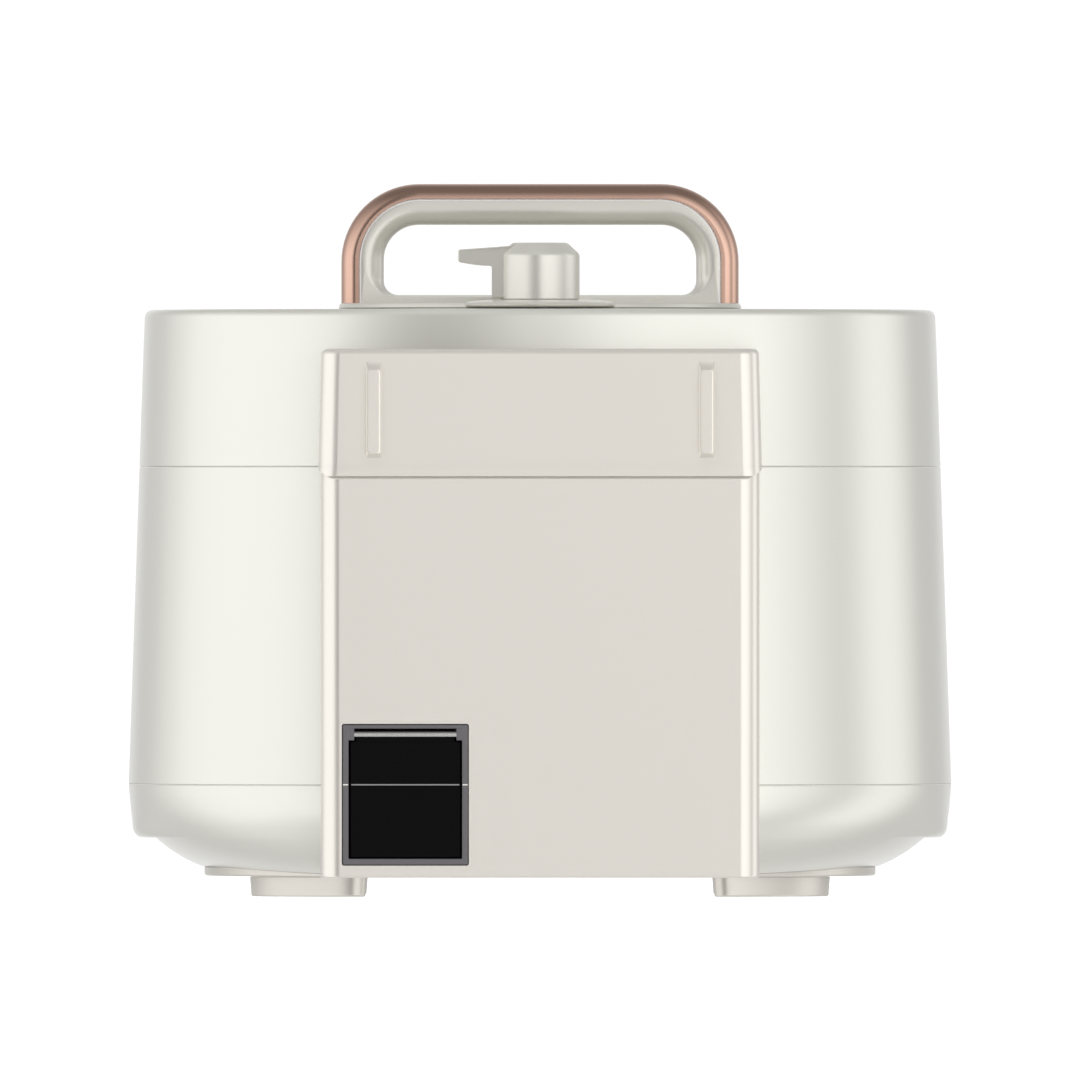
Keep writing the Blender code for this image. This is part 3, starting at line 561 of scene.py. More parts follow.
@dataclass
class Oval:
    """The plan shape that the body, the base and the lid share."""

    centre_y: float = -2.5
    depth_less: float = 42.0
    power: float = 2.4
    count: int = 240
    low_z: float = 50.0
    low_half: float = 182.8
    high_z: float = 257.0
    high_half: float = 175.8

    def half(self, z: float) -> float:
        """Return the outer half width at a height: the sides taper evenly."""
        share = (z - self.low_z) / (self.high_z - self.low_z)
        return self.low_half + (self.high_half - self.low_half) * share

    def ring(self, half: float | Callable[[float], float], z: float) -> Ring:
        """Return the oval ring for a half width, which may depend on the angle."""
        points = []
        for a in turns(self.count):
            w = half(a) if callable(half) else half
            c, s = math.cos(a), math.sin(a)
            reach = (abs(c / w) ** self.power
                     + abs(s / (w - self.depth_less)) ** self.power) ** (-1 / self.power)
            points.append(Vector((reach * c, self.centre_y + reach * s, z)) * MM)
        return points

    def circle(self, radius: float, z: float) -> Ring:
        """Return a circle about the same centre with as many points."""
        return circle_ring(radius, z, 0.0, self.centre_y, self.count)

    def outside(self, bowl: "Bowl", grow: float, low: float, high: float) -> Piece:
        """Return the whole housing's outer shape, grown a little, as a cutter."""
        levels = [low] + [z for z in (13.0, 15.0, 18.0, 22.0, 27.0, 33.0, 41.0, 49.0, 120.0, 250.0)
                          if low < z < high] + [high]
        rings = []
        for z in levels:
            wide = self.half(z) if z >= bowl.top else bowl.half(max(z, bowl.cover_top))
            rings.append(self.ring(wide + grow, z))
        return loft("cutter", rings)


@dataclass
class Bowl:
    """The rounded underside: a superellipse quarter from the base's seam to its floor."""

    top: float = 49.45
    floor: float = 9.0
    cover_top: float = 13.1
    outer: float = 182.8
    inner: float = 130.0
    power: float = 1.82

    def half(self, z: float) -> float:
        """Return the half width at a height."""
        share = min(1.0, max(0.0, (z - self.floor) / (self.top - self.floor)))
        reach = (1 - (1 - share) ** self.power) ** (1 / self.power)
        return self.inner + (self.outer - self.inner) * reach


@dataclass
class Hinge:
    """The lid hinge's axis and the two radii that keep the lid and the body apart."""

    y: float = 144.3
    z: float = 175.8
    body_radius: float = 13.2
    lid_radius: float = 13.7
    shaft_radius: float = 3.0
    arm_x: float = 67.0
    slot: float = 17.0
    well: float = 7.6

    def arc(self, radius: float, start_deg: float, steps: int = 20) -> Flat:
        """Return an arc about the axis, from an angle up to straight above it."""
        angles = [math.radians(start_deg + (90 - start_deg) * i / steps)
                  for i in range(steps + 1)]
        return [(self.y + radius * math.cos(a), self.z + radius * math.sin(a)) for a in angles]

    def slots(self, piece: Piece, wide: float, low: tuple[float, float],
              high: tuple[float, float]) -> Piece:
        """Cut a slot for each arm between two (y, z) corners."""
        for x in (-self.arm_x, self.arm_x):
            combine(piece, block("cutter", (x - wide / 2, *low), (x + wide / 2, *high)))
        return piece


OVAL = Oval()
BOWL = Bowl()
HINGE = Hinge()
REAR_FACE = 154.5
SHELL_GAP = 0.35
BORE_GAP = 0.08


@dataclass
class Base(Assembly):
    """The fixed outside: body shell, base pan, bottom cover and feet."""

    shell_low: float = 49.85
    shell_high: float = 190.3
    wall: float = 2.8
    edge: float = 0.2
    lip_inset: float = 0.09
    lip_height: float = 0.3
    grip_sine: float = 0.1
    grip_fade: float = 0.3
    dip: float = 3.7
    cover_half: float = 149.2
    foot_x: float = 76.7
    foot_length: float = 52.0
    foot_half: float = 9.0
    foot_path: tuple[float, float] = (139.0, 88.0)
    panel: tuple[float, float, float, float] = (-62.35, 62.35, 63.65, 172.35)
    panel_radius: float = 16.35

    def shell(self) -> Piece:
        """Return the body shell, with the lip that stands behind the lid's seam."""
        half, edge, lip = OVAL.half, self.edge, self.lip_inset
        low, high, rim = self.shell_low, self.shell_high, self.shell_high + self.lip_height
        rows = [(low, half(low) - edge)]
        rows += [(low + drop, half(low) - inset) for inset, drop in bend(edge, 3)[::-1]]
        rows += [(z, half(z)) for z in (87.0, 131.0, 170.0)]
        rows += [(high - drop, half(high) - inset) for inset, drop in bend(edge, 3)]
        rows += [(high, half(high) - lip), (rim, half(high) - lip),
                 (rim, half(high) - self.wall), (120.0, half(120.0) - self.wall),
                 (low, half(low) - self.wall)]
        piece = loft("fine_body_shell", [OVAL.ring(w, z) for z, w in rows], Ends.JOINED)
        HINGE.slots(piece, HINGE.slot, (100, 163), (140, 200))
        hole = rounded(*self.panel, (self.panel_radius,) * 4, 12)
        cut(piece, hole, -160, -100, Axis.Y)
        return piece

    def on_lip(self, low: float) -> Callable[[Vector], bool]:
        """Return the test for the faces of a seam's lip that starts at a height."""
        return lambda centre: low < centre.z < low + self.lip_height - 0.01

    def grip_half(self, z: float) -> float:
        """Return the side grips' half width: upright, then rounded under."""
        if z > 33.6:
            return 181.2 + 1.6 * ((z - 33.6) / 15.8) ** 0.8
        turn = min(1.0, (33.6 - z) / 7.6)
        return 177.2 + 4.0 * (1 - turn ** 2.6) ** 0.5

    def pan(self) -> Piece:
        """Return the base pan: the bowl with a hand grip standing out at each side."""
        def outline(z: float, grip: bool) -> Callable[[float], float]:
            bowl = BOWL.half(z)

            def reach(a: float) -> float:
                if not grip:
                    return bowl
                share = (self.grip_sine + self.grip_fade - abs(math.sin(a))) / self.grip_fade
                return bowl + max(0.0, self.grip_half(z) - bowl) * ease(share)
            return reach
        under = [13.1, 13.6, 14.4, 15.5, 17.0, 18.8, 20.8, 23.0, 25.2, 25.95]
        sides = [26.0, 26.3, 26.9, 27.8, 29.0, 30.6, 32.4, 34.5, 37.0, 40.0, 43.5, 46.5]
        top, lip, rim = BOWL.top, self.lip_inset, BOWL.top + self.lip_height
        rings = [OVAL.ring(outline(z, False), z) for z in under]
        rings += [OVAL.ring(outline(z, True), z) for z in sides]
        rings += [OVAL.ring(w, z) for z, w in
                  ((top - 0.2, 182.78), (top, 182.64), (top, 182.8 - lip),
                   (rim, 182.8 - lip), (rim, 180.1), (54.0, 179.8), (54.0, 177.0),
                   (46.0, 177.5), (35.0, 174.6), (24.0, 165.0), (15.2, 147.0))]
        for ring in rings:
            self.lower(ring)
        return loft("fine_base_pan", rings)

    def lower(self, ring: Ring) -> None:
        """Dip the underside at the rear and front, where the bowl covers the bottom cover."""
        fade_low, fade_high = 13.1, 30.0
        for point, a in zip(ring, turns(len(ring))):
            share = ease((abs(math.sin(a)) - 0.25) / 0.6)
            near = min(1.0, max(0.0, (fade_high - point.z / MM) / (fade_high - fade_low)))
            point.z -= self.dip * MM * share * near ** 1.5

    def cover(self) -> Piece:
        """Return the bottom cover with its cooling slots."""
        low, high, half = 8.9, 12.85, self.cover_half
        rings = [OVAL.ring(half - inset, low + drop) for inset, drop in bend(1.2, 4)[::-1]]
        rings.append(OVAL.ring(half, high))
        piece = loft("fine_bottom_cover", rings)
        for x in (-40, -20, 0, 20, 40):
            slot = rounded(x - 3, x + 3, -45, 40, (2.9,) * 4, 6)
            cut(piece, slot, 0, 20, Axis.Z)
        return piece

    def foot(self, side: int, end: int) -> Piece:
        """Return one foot, a pad that follows the base's curve."""
        rings, steps, power = [], 32, OVAL.power
        path_x, path_y = self.foot_path
        levels = [(8.6, 0.0), (1.6, 0.9)] + [(drop, 0.9 + inset) for inset, drop in bend(1.3, 4)]
        for z, less in levels:
            outer, inner = [], []
            for i in range(steps + 1):
                t = 0.5 - 0.5 * math.cos(math.pi * i / steps)
                x = self.foot_x + less * 0.6 + t * (self.foot_length - less * 1.2)
                y = path_y * (1 - (x / path_x) ** power) ** (1 / power)
                wide = (self.foot_half - less) * max(0.0, 1 - abs(2 * t - 1) ** 5) ** 0.5 + 0.25
                outer.append((side * x, OVAL.centre_y + end * (y + wide), z))
                inner.append((side * x, OVAL.centre_y + end * (y - wide), z))
            rings.append([Vector(p) * MM for p in outer + inner[::-1]])
        place = "{}_{}".format("rear" if end > 0 else "front", "right" if side > 0 else "left")
        return loft("fine_foot_" + place, rings)

    def build(self, looks: Looks) -> None:
        """Build and dress the fixed outside."""
        shell = self.add(self.shell(), "body_shell", looks["pearl"])
        # The lip behind the lid's seam is painted pale matt: a painted highlight along the seam.
        paint_highlight(shell, self.on_lip(self.shell_high), looks["line"])
        pan = self.add(self.pan(), "base_pan", looks["pearl"])
        # The same painted highlight along the base's seam.
        paint_highlight(pan, self.on_lip(BOWL.top), looks["line"])
        self.add(self.cover(), "bottom_cover", looks["foot"])
        for side in (-1, 1):
            for end in (-1, 1):
                foot = self.foot(side, end)
                self.add(foot, foot.name.replace("fine_", ""), looks["foot"])


@dataclass
class RearHousing(Assembly):
    """The flat-backed housing with the hinge barrel, and the lid cover's lower neighbour."""

    half: float = 96.9
    radius: float = 8.5
    low: float = 8.9
    wall: float = 2.5
    corner_drop: float = 9.1
    inlet: tuple[float, float, float, float] = (31.4, 87.5, 14.3, 76.9)

    def outline(self, shrink: float = 0.0, front: float = 60.0) -> Flat:
        """Return the plan outline with its rounded rear corners."""
        half, r = self.half - shrink, max(self.radius - shrink, 0.5)
        return rounded(-half, half, front, REAR_FACE - shrink, (1.0, 1.0, r, r), 14)

    def build(self, looks: Looks) -> None:
        """Build and dress the housing."""
        top = HINGE.z + HINGE.body_radius
        rings = [lift(self.outline(inset), self.low + drop, Axis.Z)
                 for inset, drop in bend(1.0, 4)[::-1]]
        rings.append(lift(self.outline(), top, Axis.Z))
        piece = loft("fine_rear_housing", rings)
        cut(piece, self.outline(self.wall, 40.0), self.low + self.wall, 160.0, Axis.Z)
        combine(piece, block("cutter", (-46, 40, 150), (46, REAR_FACE - 3.0, 182)))
        start = math.degrees(math.asin(self.corner_drop / HINGE.body_radius))
        lip = HINGE.arc(HINGE.body_radius, start)
        lip += [(HINGE.y, 200), (HINGE.y + 30, 200), (HINGE.y + 30, HINGE.z + self.corner_drop)]
        cut(piece, lip, -110, 110, Axis.X)
        HINGE.slots(piece, HINGE.slot, (40, HINGE.z - HINGE.well), (HINGE.y + HINGE.well, 200))
        hole = HINGE.shaft_radius + BORE_GAP
        cut_loft(piece, [cross_ring(hole, x, HINGE.y, HINGE.z) for x in (-90.3, 90.3)])
        combine(piece, OVAL.outside(BOWL, SHELL_GAP, 0.0, 210.0))
        hole = rounded(*self.inlet, (1.0,) * 4, 5)
        cut(piece, hole, 140, 160, Axis.Y)
        self.add(piece, "rear_housing", looks["satin"])
        edge = HINGE.z + self.corner_drop
        # A pale matt band on the housing's top edge under the lid's rear cover: a painted
        # highlight along that seam.
        paint_highlight(piece, lambda c: edge + 0.05 < c.z < edge + 1.6 and c.y > 150.0, looks["line"])
        self.dress(["hinge_shaft"], looks["plated"])


@dataclass
class Inlet(Assembly):
    """The framed power inlet: bezel, socket, flap and the pin that the flap turns on."""

    x: float = 59.45
    half: float = 27.75
    low: float = 14.6
    high: float = 76.6
    frame_width: float = 2.7
    pin_y: float = 152.2
    pin_z: float = 72.3
    pin_radius: float = 1.5
    line_z: float = 50.0
    line_height: float = 0.55
    line_proud: float = 0.12

    def bezel(self) -> Piece:
        """Return the frame with its two corner blocks for the pin."""
        x0, x1 = self.x - self.half, self.x + self.half
        wide = self.frame_width
        rings = []
        for inset, depth in [(0.0, 141.8)] + [(i, REAR_FACE - 0.2 - d) for i, d in bend(0.5, 3)]:
            flat = rounded(x0 + inset, x1 - inset, self.low + inset, self.high - inset,
                           (0.8,) * 4, 4)
            rings.append(lift(flat, depth, Axis.Y))
        for inset, depth in [(wide - i, REAR_FACE - 0.2 - d) for i, d in bend(0.5, 3)[::-1]] + [
                (wide, 141.8)]:
            top = self.high - inset + 0.9
            flat = rounded(x0 + inset, x1 - inset, self.low + inset, top, (0.5,) * 4, 4)
            rings.append(lift(flat, depth, Axis.Y))
        piece = loft("fine_inlet_bezel", rings, Ends.JOINED)
        for x in (x0 + wide + 0.9, x1 - wide - 0.9):
            combine(piece, block("corner", (x - 1.6, 149.8, 69.6),
                                 (x + 1.6, REAR_FACE - 0.4, 75.9), 0.25), Join.ADD)
        for left in (x0 + 0.2, x1 - wide + 0.2):
            self.strip(piece, left, left + wide - 0.4, REAR_FACE - 0.2)
        bore = [cross_ring(self.pin_radius + BORE_GAP, x, self.pin_y, self.pin_z)
                for x in (x0 + 1.0, x1 - 1.0)]
        return cut_loft(piece, bore)

    def strip(self, piece: Piece, low: float, high: float, face: float) -> None:
        """Join a fine raised line across a face, level with the seam of the base."""
        half = self.line_height / 2
        combine(piece, block("strip", (low, face - 0.3, self.line_z - half),
                             (high, face + self.line_proud, self.line_z + half)), Join.ADD)

    def on_strip(self, centre: Vector) -> bool:
        """Return whether a face's centre lies on the fine line."""
        return abs(centre.z - self.line_z) < self.line_height

    def flap(self) -> Piece:
        """Return the flap: a thin plate with two knuckles round the pin."""
        x0, x1 = self.x - self.half + 5.6 - 2.2, self.x + self.half - 5.6 + 2.2
        low, high = self.low + self.frame_width + 0.5, 69.2
        rings = [lift(rounded(x0, x1, low, high, (0.8,) * 4, 4), 151.2, Axis.Y)]
        for inset, drop in bend(0.5, 4):
            flat = rounded(x0 + inset, x1 - inset, low + inset, high - inset, (0.8,) * 4, 4)
            rings.append(lift(flat, 153.2 - drop, Axis.Y))
        piece = loft("fine_inlet_flap", rings)
        neck = block("neck", (x0 + 2.6, 151.3, 66.0), (x1 - 2.6, 153.0, 71.4), 0.2)
        combine(piece, neck, Join.ADD)
        self.strip(piece, x0 + 0.5, x1 - 0.5, 153.2)
        bore = [cross_ring(self.pin_radius + 0.05, x, self.pin_y, self.pin_z)
                for x in (x0 - 2, x1 + 2)]
        return cut_loft(piece, bore)

    def pin(self) -> Piece:
        """Return the steel pin with small chamfered ends."""
        x0, x1 = self.x - self.half + 1.4, self.x + self.half - 1.4
        rows = [(x0, 1.2), (x0 + 0.3, 1.5), (x1 - 0.3, 1.5), (x1, 1.2)]
        return loft("fine_flap_pin", [cross_ring(r, x, self.pin_y, self.pin_z) for x, r in rows])

    def build(self, looks: Looks) -> None:
        """Build and dress the inlet; the flap and the pin turn together."""
        bezel = self.add(self.bezel(), "inlet_bezel", looks["smoke"])
        # The raised line across the bezel is painted pale matt, and the one across the flap grey:
        # painted highlights that carry the base's seam line across the inlet.
        paint_highlight(bezel, self.on_strip, looks["line"])
        self.dress(["inlet_socket"], looks["black"])
        self.body = "flap"
        flap = self.add(self.flap(), "inlet_flap", looks["black"])
        paint_highlight(flap, self.on_strip, looks["dim_line"])
        self.add(self.pin(), "flap_pin", looks["plated"])


@dataclass
class Lid(Assembly):
    """The hinged lid: its lacquered cover, flat rear cover, liner and hinge arms."""

    low: float = 190.75
    top: float = 260.3
    crown: float = 0.35
    corner: float = 3.4
    hole: float = 85.0
    wall: float = 2.8
    liner_gap: float = 3.3
    cover_low: float = 186.06
    cover_top: float = 242.5
    cover_half_low: float = 98.1
    cover_half_top: float = 96.7
    cover_radius: float = 8.5
    cover_bend: float = 2.7
    rib_x: float = 73.5
    rib_size: tuple[float, float, float] = (7.3, 42.5, 2.5)
    rib_low: float = 194.4
    groove_z: float = 190.5

    def cover(self) -> Piece:
        """Return the lid's cover, crowned slightly towards the turning disc."""
        half, top, corner = OVAL.half, self.top, self.corner
        edge = 0.2
        rows = [(self.low + drop, half(self.low) - inset) for inset, drop in bend(edge, 3)[::-1]]
        rows += [(z, half(z)) for z in (210.0, 230.0, 245.0)]
        rows += [(top - drop, half(top) - inset) for inset, drop in bend(corner, 8)]
        rings = [OVAL.ring(w, z) for z, w in rows]
        rings += [OVAL.ring(half(top) - 8.0, top + 0.02), OVAL.ring(half(top) - 25.0, top + 0.1)]
        crown = top + self.crown
        rings += [OVAL.circle(self.hole + 6.0, crown - 0.02), OVAL.circle(self.hole + 0.5, crown),
                  OVAL.circle(self.hole, crown - 0.4), OVAL.circle(self.hole, top - 3.0)]
        inner = ((top - 3.0, half(top) - 6.5), (top - 6.0, half(top) - 3.1),
                 (220.0, half(220.0) - self.wall), (self.low + 0.9, half(self.low) - self.wall),
                 (self.low + 0.9, half(self.low) - 0.75), (self.low, half(self.low) - 0.75))
        rings += [OVAL.ring(w, z) for z, w in inner]
        return loft("fine_lid_cover", rings, Ends.JOINED)

    def rear_outline(self, half: float, shrink: float, front: float = 9.0) -> Flat:
        """Return the rear cover's plan outline."""
        r = max(self.cover_radius - shrink, 0.6)
        return rounded(-half + shrink, half - shrink, front, REAR_FACE - shrink,
                       (1.0, 1.0, r, r), 14)

    def rib(self, x: float) -> Piece:
        """Return one upright stop rib with sloped ends."""
        wide, tall, proud = self.rib_size
        low, high = self.rib_low, self.rib_low + tall
        rings = []
        for depth, inset, low_slope, high_slope in (
                (-1.0, 0.0, 0.0, 0.0), (0.0, 0.0, 0.0, 0.0), (proud - 0.6, 0.5, 1.5, 3.0),
                (proud - 0.18, 0.75, 1.85, 3.5), (proud, 1.25, 2.4, 4.1)):
            flat = rounded(x - wide / 2 + inset, x + wide / 2 - inset, low + low_slope,
                           high - high_slope, (1.0,) * 4, 5)
            rings.append(lift(flat, REAR_FACE + depth, Axis.Y))
        return loft("rib", rings)

    def rear_cover(self) -> Piece:
        """Return the flat rear cover, its two ribs and the fine groove across it."""
        rings = [lift(self.rear_outline(self.cover_half_low, inset, 9.0), self.cover_low + drop,
                      Axis.Z) for inset, drop in bend(0.4, 3)[::-1]]
        high = self.cover_top
        rings += [lift(self.rear_outline(self.cover_half_top, inset), high - drop, Axis.Z)
                  for inset, drop in bend(self.cover_bend, 8)]
        piece = loft("fine_lid_rear_cover", rings)
        wall = 2.6
        hollow = [lift(self.rear_outline(self.cover_half_low, wall, 0.0), 180.0, Axis.Z),
                  lift(self.rear_outline(self.cover_half_top, wall, 0.0), high - 5.0, Axis.Z),
                  lift(self.rear_outline(self.cover_half_top, wall + 2.6, 0.0), high - wall,
                       Axis.Z)]
        cut_loft(piece, hollow)
        dy = math.sqrt(HINGE.lid_radius ** 2 - (self.cover_low - HINGE.z) ** 2)
        clear = HINGE.arc(HINGE.lid_radius, math.degrees(math.acos(dy / HINGE.lid_radius)))
        clear += [(0, HINGE.z + HINGE.lid_radius), (0, 150), (HINGE.y + dy, 150)]
        cut(piece, clear, -110, 110, Axis.X)
        combine(piece, OVAL.outside(BOWL, SHELL_GAP, 150.0, 258.0))
        for x in (-self.rib_x, self.rib_x):
            combine(piece, self.rib(x), Join.ADD)
        z, depth, height = self.groove_z, 0.22, 0.22
        half = self.cover_half_low - 0.1
        ring = [lift(self.rear_outline(half, shrink, 9.0 + shrink), level, Axis.Z)
                for shrink, level in ((-3.0, z - height), (depth, z - height),
                                      (depth, z + height), (-3.0, z + height))]
        return cut_loft(piece, ring, Ends.JOINED)

    def liner(self) -> Piece:
        """Return the liner plate under the lid, with a raised rim round its opening."""
        half = OVAL.half(192.0) - self.liner_gap
        rings = [OVAL.ring(half, 195.0), OVAL.ring(half, 192.3), OVAL.ring(half - 0.3, 192.0),
                 OVAL.circle(121.0, 192.0), OVAL.circle(120.5, 191.4), OVAL.circle(118.0, 191.4),
                 OVAL.circle(117.5, 192.0), OVAL.circle(117.5, 195.0)]
        piece = loft("fine_lid_liner", rings, Ends.JOINED)
        return HINGE.slots(piece, 13.2, (113.0, 180), (121.4, 210))

    def build(self, looks: Looks) -> None:
        """Build and dress the lid."""
        self.add(self.cover(), "lid_cover", looks["pearl"])
        self.add(self.rear_cover(), "lid_rear_cover", looks["satin"])
        self.add(self.liner(), "lid_liner", looks["liner"])
        self.dress(["hinge_arm_left", "hinge_arm_right"], looks["plated"])


@dataclass
class Turntable(Assembly):
    """The turning disc with its handle, the valve's dish and the steel pressure lid."""

    disc_radius: float = 89.5
    disc_low: float = 260.8
    disc_top: float = 263.2
    valve_out: float = 74.0
    lobe_radius: float = 31.0
    valve_bore: float = 4.8
    float_out: float = -52.0
    float_bore: float = 4.1
    band_half: float = 88.3
    band_low: float = 263.3
    band_top: float = 316.3
    band_radius: float = 34.7
    band_thick: float = 6.8
    leg_thick: float = 8.0
    band_depth: float = 13.0
    round_over: float = 6.3
    round_depth: float = 8.5
    grip_depth: float = 12.2
    open_half: float = 69.4
    open_low: float = 267.0
    open_top: float = 298.1
    tooth_count: int = 6
    tooth_deg: float = 24.0

    @property
    def valve_y(self) -> float:
        """Return the valve axis's place."""
        return OVAL.centre_y + self.valve_out

    def disc_ring(self, less: float, z: float) -> Ring:
        """Return the disc's outline, with the valve's lobe blended into it."""
        ring, sharpness = [], 90.0
        for a in turns(OVAL.count):
            turn = a - math.pi / 2
            side = self.valve_out * math.sin(turn)
            lobe = 1.0
            if math.cos(turn) > 0 and abs(side) < self.lobe_radius:
                lobe = (self.valve_out * math.cos(turn)
                        + math.sqrt(self.lobe_radius ** 2 - side ** 2))
            big = max(lobe, self.disc_radius)
            reach = big * ((lobe / big) ** sharpness
                           + (self.disc_radius / big) ** sharpness) ** (1 / sharpness) - less
            ring.append(Vector((reach * math.cos(a), OVAL.centre_y + reach * math.sin(a), z))
                        * MM)
        return ring

    def disc(self) -> Piece:
        """Return the turning disc: a thin flared plate on a guiding skirt."""
        low, top = self.disc_low, self.disc_top
        rings = [self.disc_ring(6.0, top), self.disc_ring(1.3, top - 0.02)]
        rings += [self.disc_ring(0.35 + inset, top - 0.02 - drop)
                  for inset, drop in bend(0.9, 4)[::-1][1:]]
        rings += [self.disc_ring(0.0, low + 0.45), self.disc_ring(0.5, low)]
        rings += [OVAL.circle(r, z) for r, z in ((84.0, low), (84.0, 250.0), (81.0, 250.0),
                                                 (81.0, low))]
        piece = loft("fine_turn_disc", rings)
        return self.bores(piece, 240, 280)

    def bores(self, piece: Piece, low: float, high: float) -> Piece:
        """Cut the valve's and the float pin's holes through a piece."""
        for radius, y in ((self.valve_bore, self.valve_y),
                          (self.float_bore, OVAL.centre_y + self.float_out)):
            hole = [circle_ring(radius, z, 0.0, y, 48) for z in (low, high)]
            cut_loft(piece, hole)
        return piece

    def arch(self, out: float, into: float, y: float) -> Ring:
        """Return the copper band's outline at a depth.

        Args:
            out: how far the outer edge is drawn in.
            into: how far the inner edge is drawn out.
            y: the depth.

        Returns:
            The ring.
        """
        half, top, r = self.band_half, self.band_top, self.band_radius
        low, steps = self.band_low, 18
        inner_half, inner_top = half - self.leg_thick + into, top - self.band_thick + into
        size = steps + 1
        outer = rounded(-half + out, half - out, low, top - out,
                        (0.01, 0.01, r - out, r - out), steps)[2 * size:]
        inner = rounded(-inner_half, inner_half, low, inner_top,
                        (0.01, 0.01, r - 7.4 + into, r - 7.4 + into), steps)[2 * size:]
        outer = [(half - out, low)] + outer + [(-half + out, low)]
        inner = [(inner_half, low)] + inner + [(-inner_half, low)]
        return lift(outer + inner[::-1], y, Axis.Y)

    def band(self) -> Piece:
        """Return the copper band: rounded away outwards, with a small inner edge."""
        depth, middle, steps = self.band_depth, OVAL.centre_y, 10
        edges = []
        for i in range(steps + 1):
            a = math.pi / 2 * i / steps
            edges.append((self.round_over * (1 - math.cos(a)), 0.2 * (i / steps) ** 4,
                          self.round_depth * (1 - math.sin(a))))
        rings = [self.arch(out, into, middle - depth + drop) for out, into, drop in edges[::-1]]
        rings += [self.arch(out, into, middle + depth - drop) for out, into, drop in edges]
        return loft("fine_handle_trim", rings)

    def grip(self) -> Piece:
        """Return the cream loop inside the band, rounded towards the finger opening."""
        depth, middle, steps = self.grip_depth, OVAL.centre_y, 14
        outer_half = self.band_half - self.leg_thick - 0.08
        outer_top = self.band_top - self.band_thick - 0.08
        outer_r = self.band_radius - 7.7

        def outer(inset: float, y: float) -> Ring:
            flat = rounded(-outer_half + inset, outer_half - inset, self.band_low,
                           outer_top - inset, (0.4, 0.4, outer_r - inset, outer_r - inset), steps)
            return lift(flat, middle + y, Axis.Y)

        def inner(inset: float, y: float) -> Ring:
            half = self.open_half + inset
            low = self.open_low - min(inset, 2.4) * 0.45
            flat = rounded(-half, half, low, self.open_top + inset * 0.86,
                           (6.4 + inset,) * 2 + (15.5 + inset,) * 2, steps)
            return lift(flat, middle + y, Axis.Y)
        edges = bend(8.2, 9)
        rings = [outer(0.75, -depth), outer(0.0, -depth + 0.25), outer(0.0, depth - 0.25),
                 outer(0.75, depth)]
        rings += [inner(i, depth - d) for i, d in edges[::-1]]
        rings += [inner(i, d - depth) for i, d in edges]
        return loft("fine_handle_grip", rings, Ends.JOINED)

    def on_rim(self, centre: Vector) -> bool:
        """Return whether a face lies on the narrow chamfer beside the copper band."""
        half, top = self.band_half - self.leg_thick, self.band_top - self.band_thick
        r, corner = self.band_radius - 7.7, 0.85
        u, v = max(0.0, abs(centre.x) - half + r), max(0.0, centre.z - top + r)
        return math.hypot(u, v) > r - corner

    def dish(self) -> Piece:
        """Return the low crowned dish that the valve stands on."""
        rows = ((4.9, 263.25), (31.5, 263.25), (31.5, 261.0), (32.6, 260.9), (33.8, 261.3),
                (34.4, 261.8), (34.5, 262.3), (34.2, 262.75), (33.4, 263.2), (32.0, 263.55),
                (29.5, 263.9), (26.0, 264.2), (22.0, 264.4), (18.4, 264.5), (17.9, 264.35),
                (17.1, 264.35), (16.8, 264.72), (4.9, 264.72))
        rings = [circle_ring(r, z, 0.0, self.valve_y, 128) for r, z in rows]
        piece = loft("fine_valve_dish", rings, Ends.JOINED)
        plate = [OVAL.circle(self.disc_radius + 0.1, z) for z in (255.0, 263.24)]
        return cut_loft(piece, plate)

    def pressure_lid(self) -> Piece:
        """Return the pressed steel lid with its locking teeth."""
        rows = [(60.0, 207.4), (80.0, 207.2), (86.0, 206.6), (92.0, 204.9), (101.0, 200.0),
                (106.0, 195.6), (109.0, 190.6), (110.0, 187.0), (110.9, 185.5), (112.2, 185.0),
                (120.5, 185.0), (120.8, 184.6), (120.8, 182.8), (120.5, 182.5), (108.2, 182.5),
                (107.6, 186.0), (106.6, 190.0), (104.0, 194.2), (99.8, 198.2), (91.0, 202.9),
                (85.0, 204.6), (79.0, 205.1), (60.0, 205.2)]
        rings = [OVAL.circle(r, z) for r, z in rows]
        piece = loft("fine_pressure_lid", rings)
        notches(piece, self.tooth_count, self.tooth_deg, 0.5, 113.5, 126.0, 176, 188)
        return self.bores(piece, 190, 220)

    def seal(self) -> Piece:
        """Return the silicone sealing ring with its flexing lip."""
        rows = ((104.5, 177.2), (106.0, 176.95), (112.5, 176.95), (113.0, 177.4), (113.0, 179.6),
                (112.4, 181.4), (111.4, 182.1), (107.2, 182.1), (106.8, 181.2), (110.2, 180.2),
                (110.4, 179.0), (109.4, 178.3), (105.0, 178.3))
        return loft("fine_sealing_ring", [OVAL.circle(r, z) for r, z in rows], Ends.JOINED)

    def build(self, looks: Looks) -> None:
        """Build and dress everything that turns with the handle."""
        self.add(self.disc(), "turn_disc", looks["grip"])
        self.add(self.band(), "handle_trim", looks["copper"])
        grip = self.add(self.grip(), "handle_grip", looks["grip"])
        narrow = self.grip_depth - 0.25
        # The narrow chamfer beside the copper band is painted white matt: a painted highlight
        # along the band's edge.
        paint_highlight(grip, lambda c: narrow < abs(c.y - OVAL.centre_y) < self.grip_depth
               and self.on_rim(c), looks["rim"])
        self.add(self.dish(), "valve_dish", looks["grip"])
        self.add(self.pressure_lid(), "pressure_lid", looks["stainless"])
        self.add(self.seal(), "sealing_ring", looks["silicone"])
        self.dress(["vent_pipe", "anti_block_cap"], looks["stainless"])
        self.dress(["float_seal"], looks["silicone"])
        self.dress(["retaining_ring"], looks["liner"])
        self.dress(["hub"], looks["cast"])


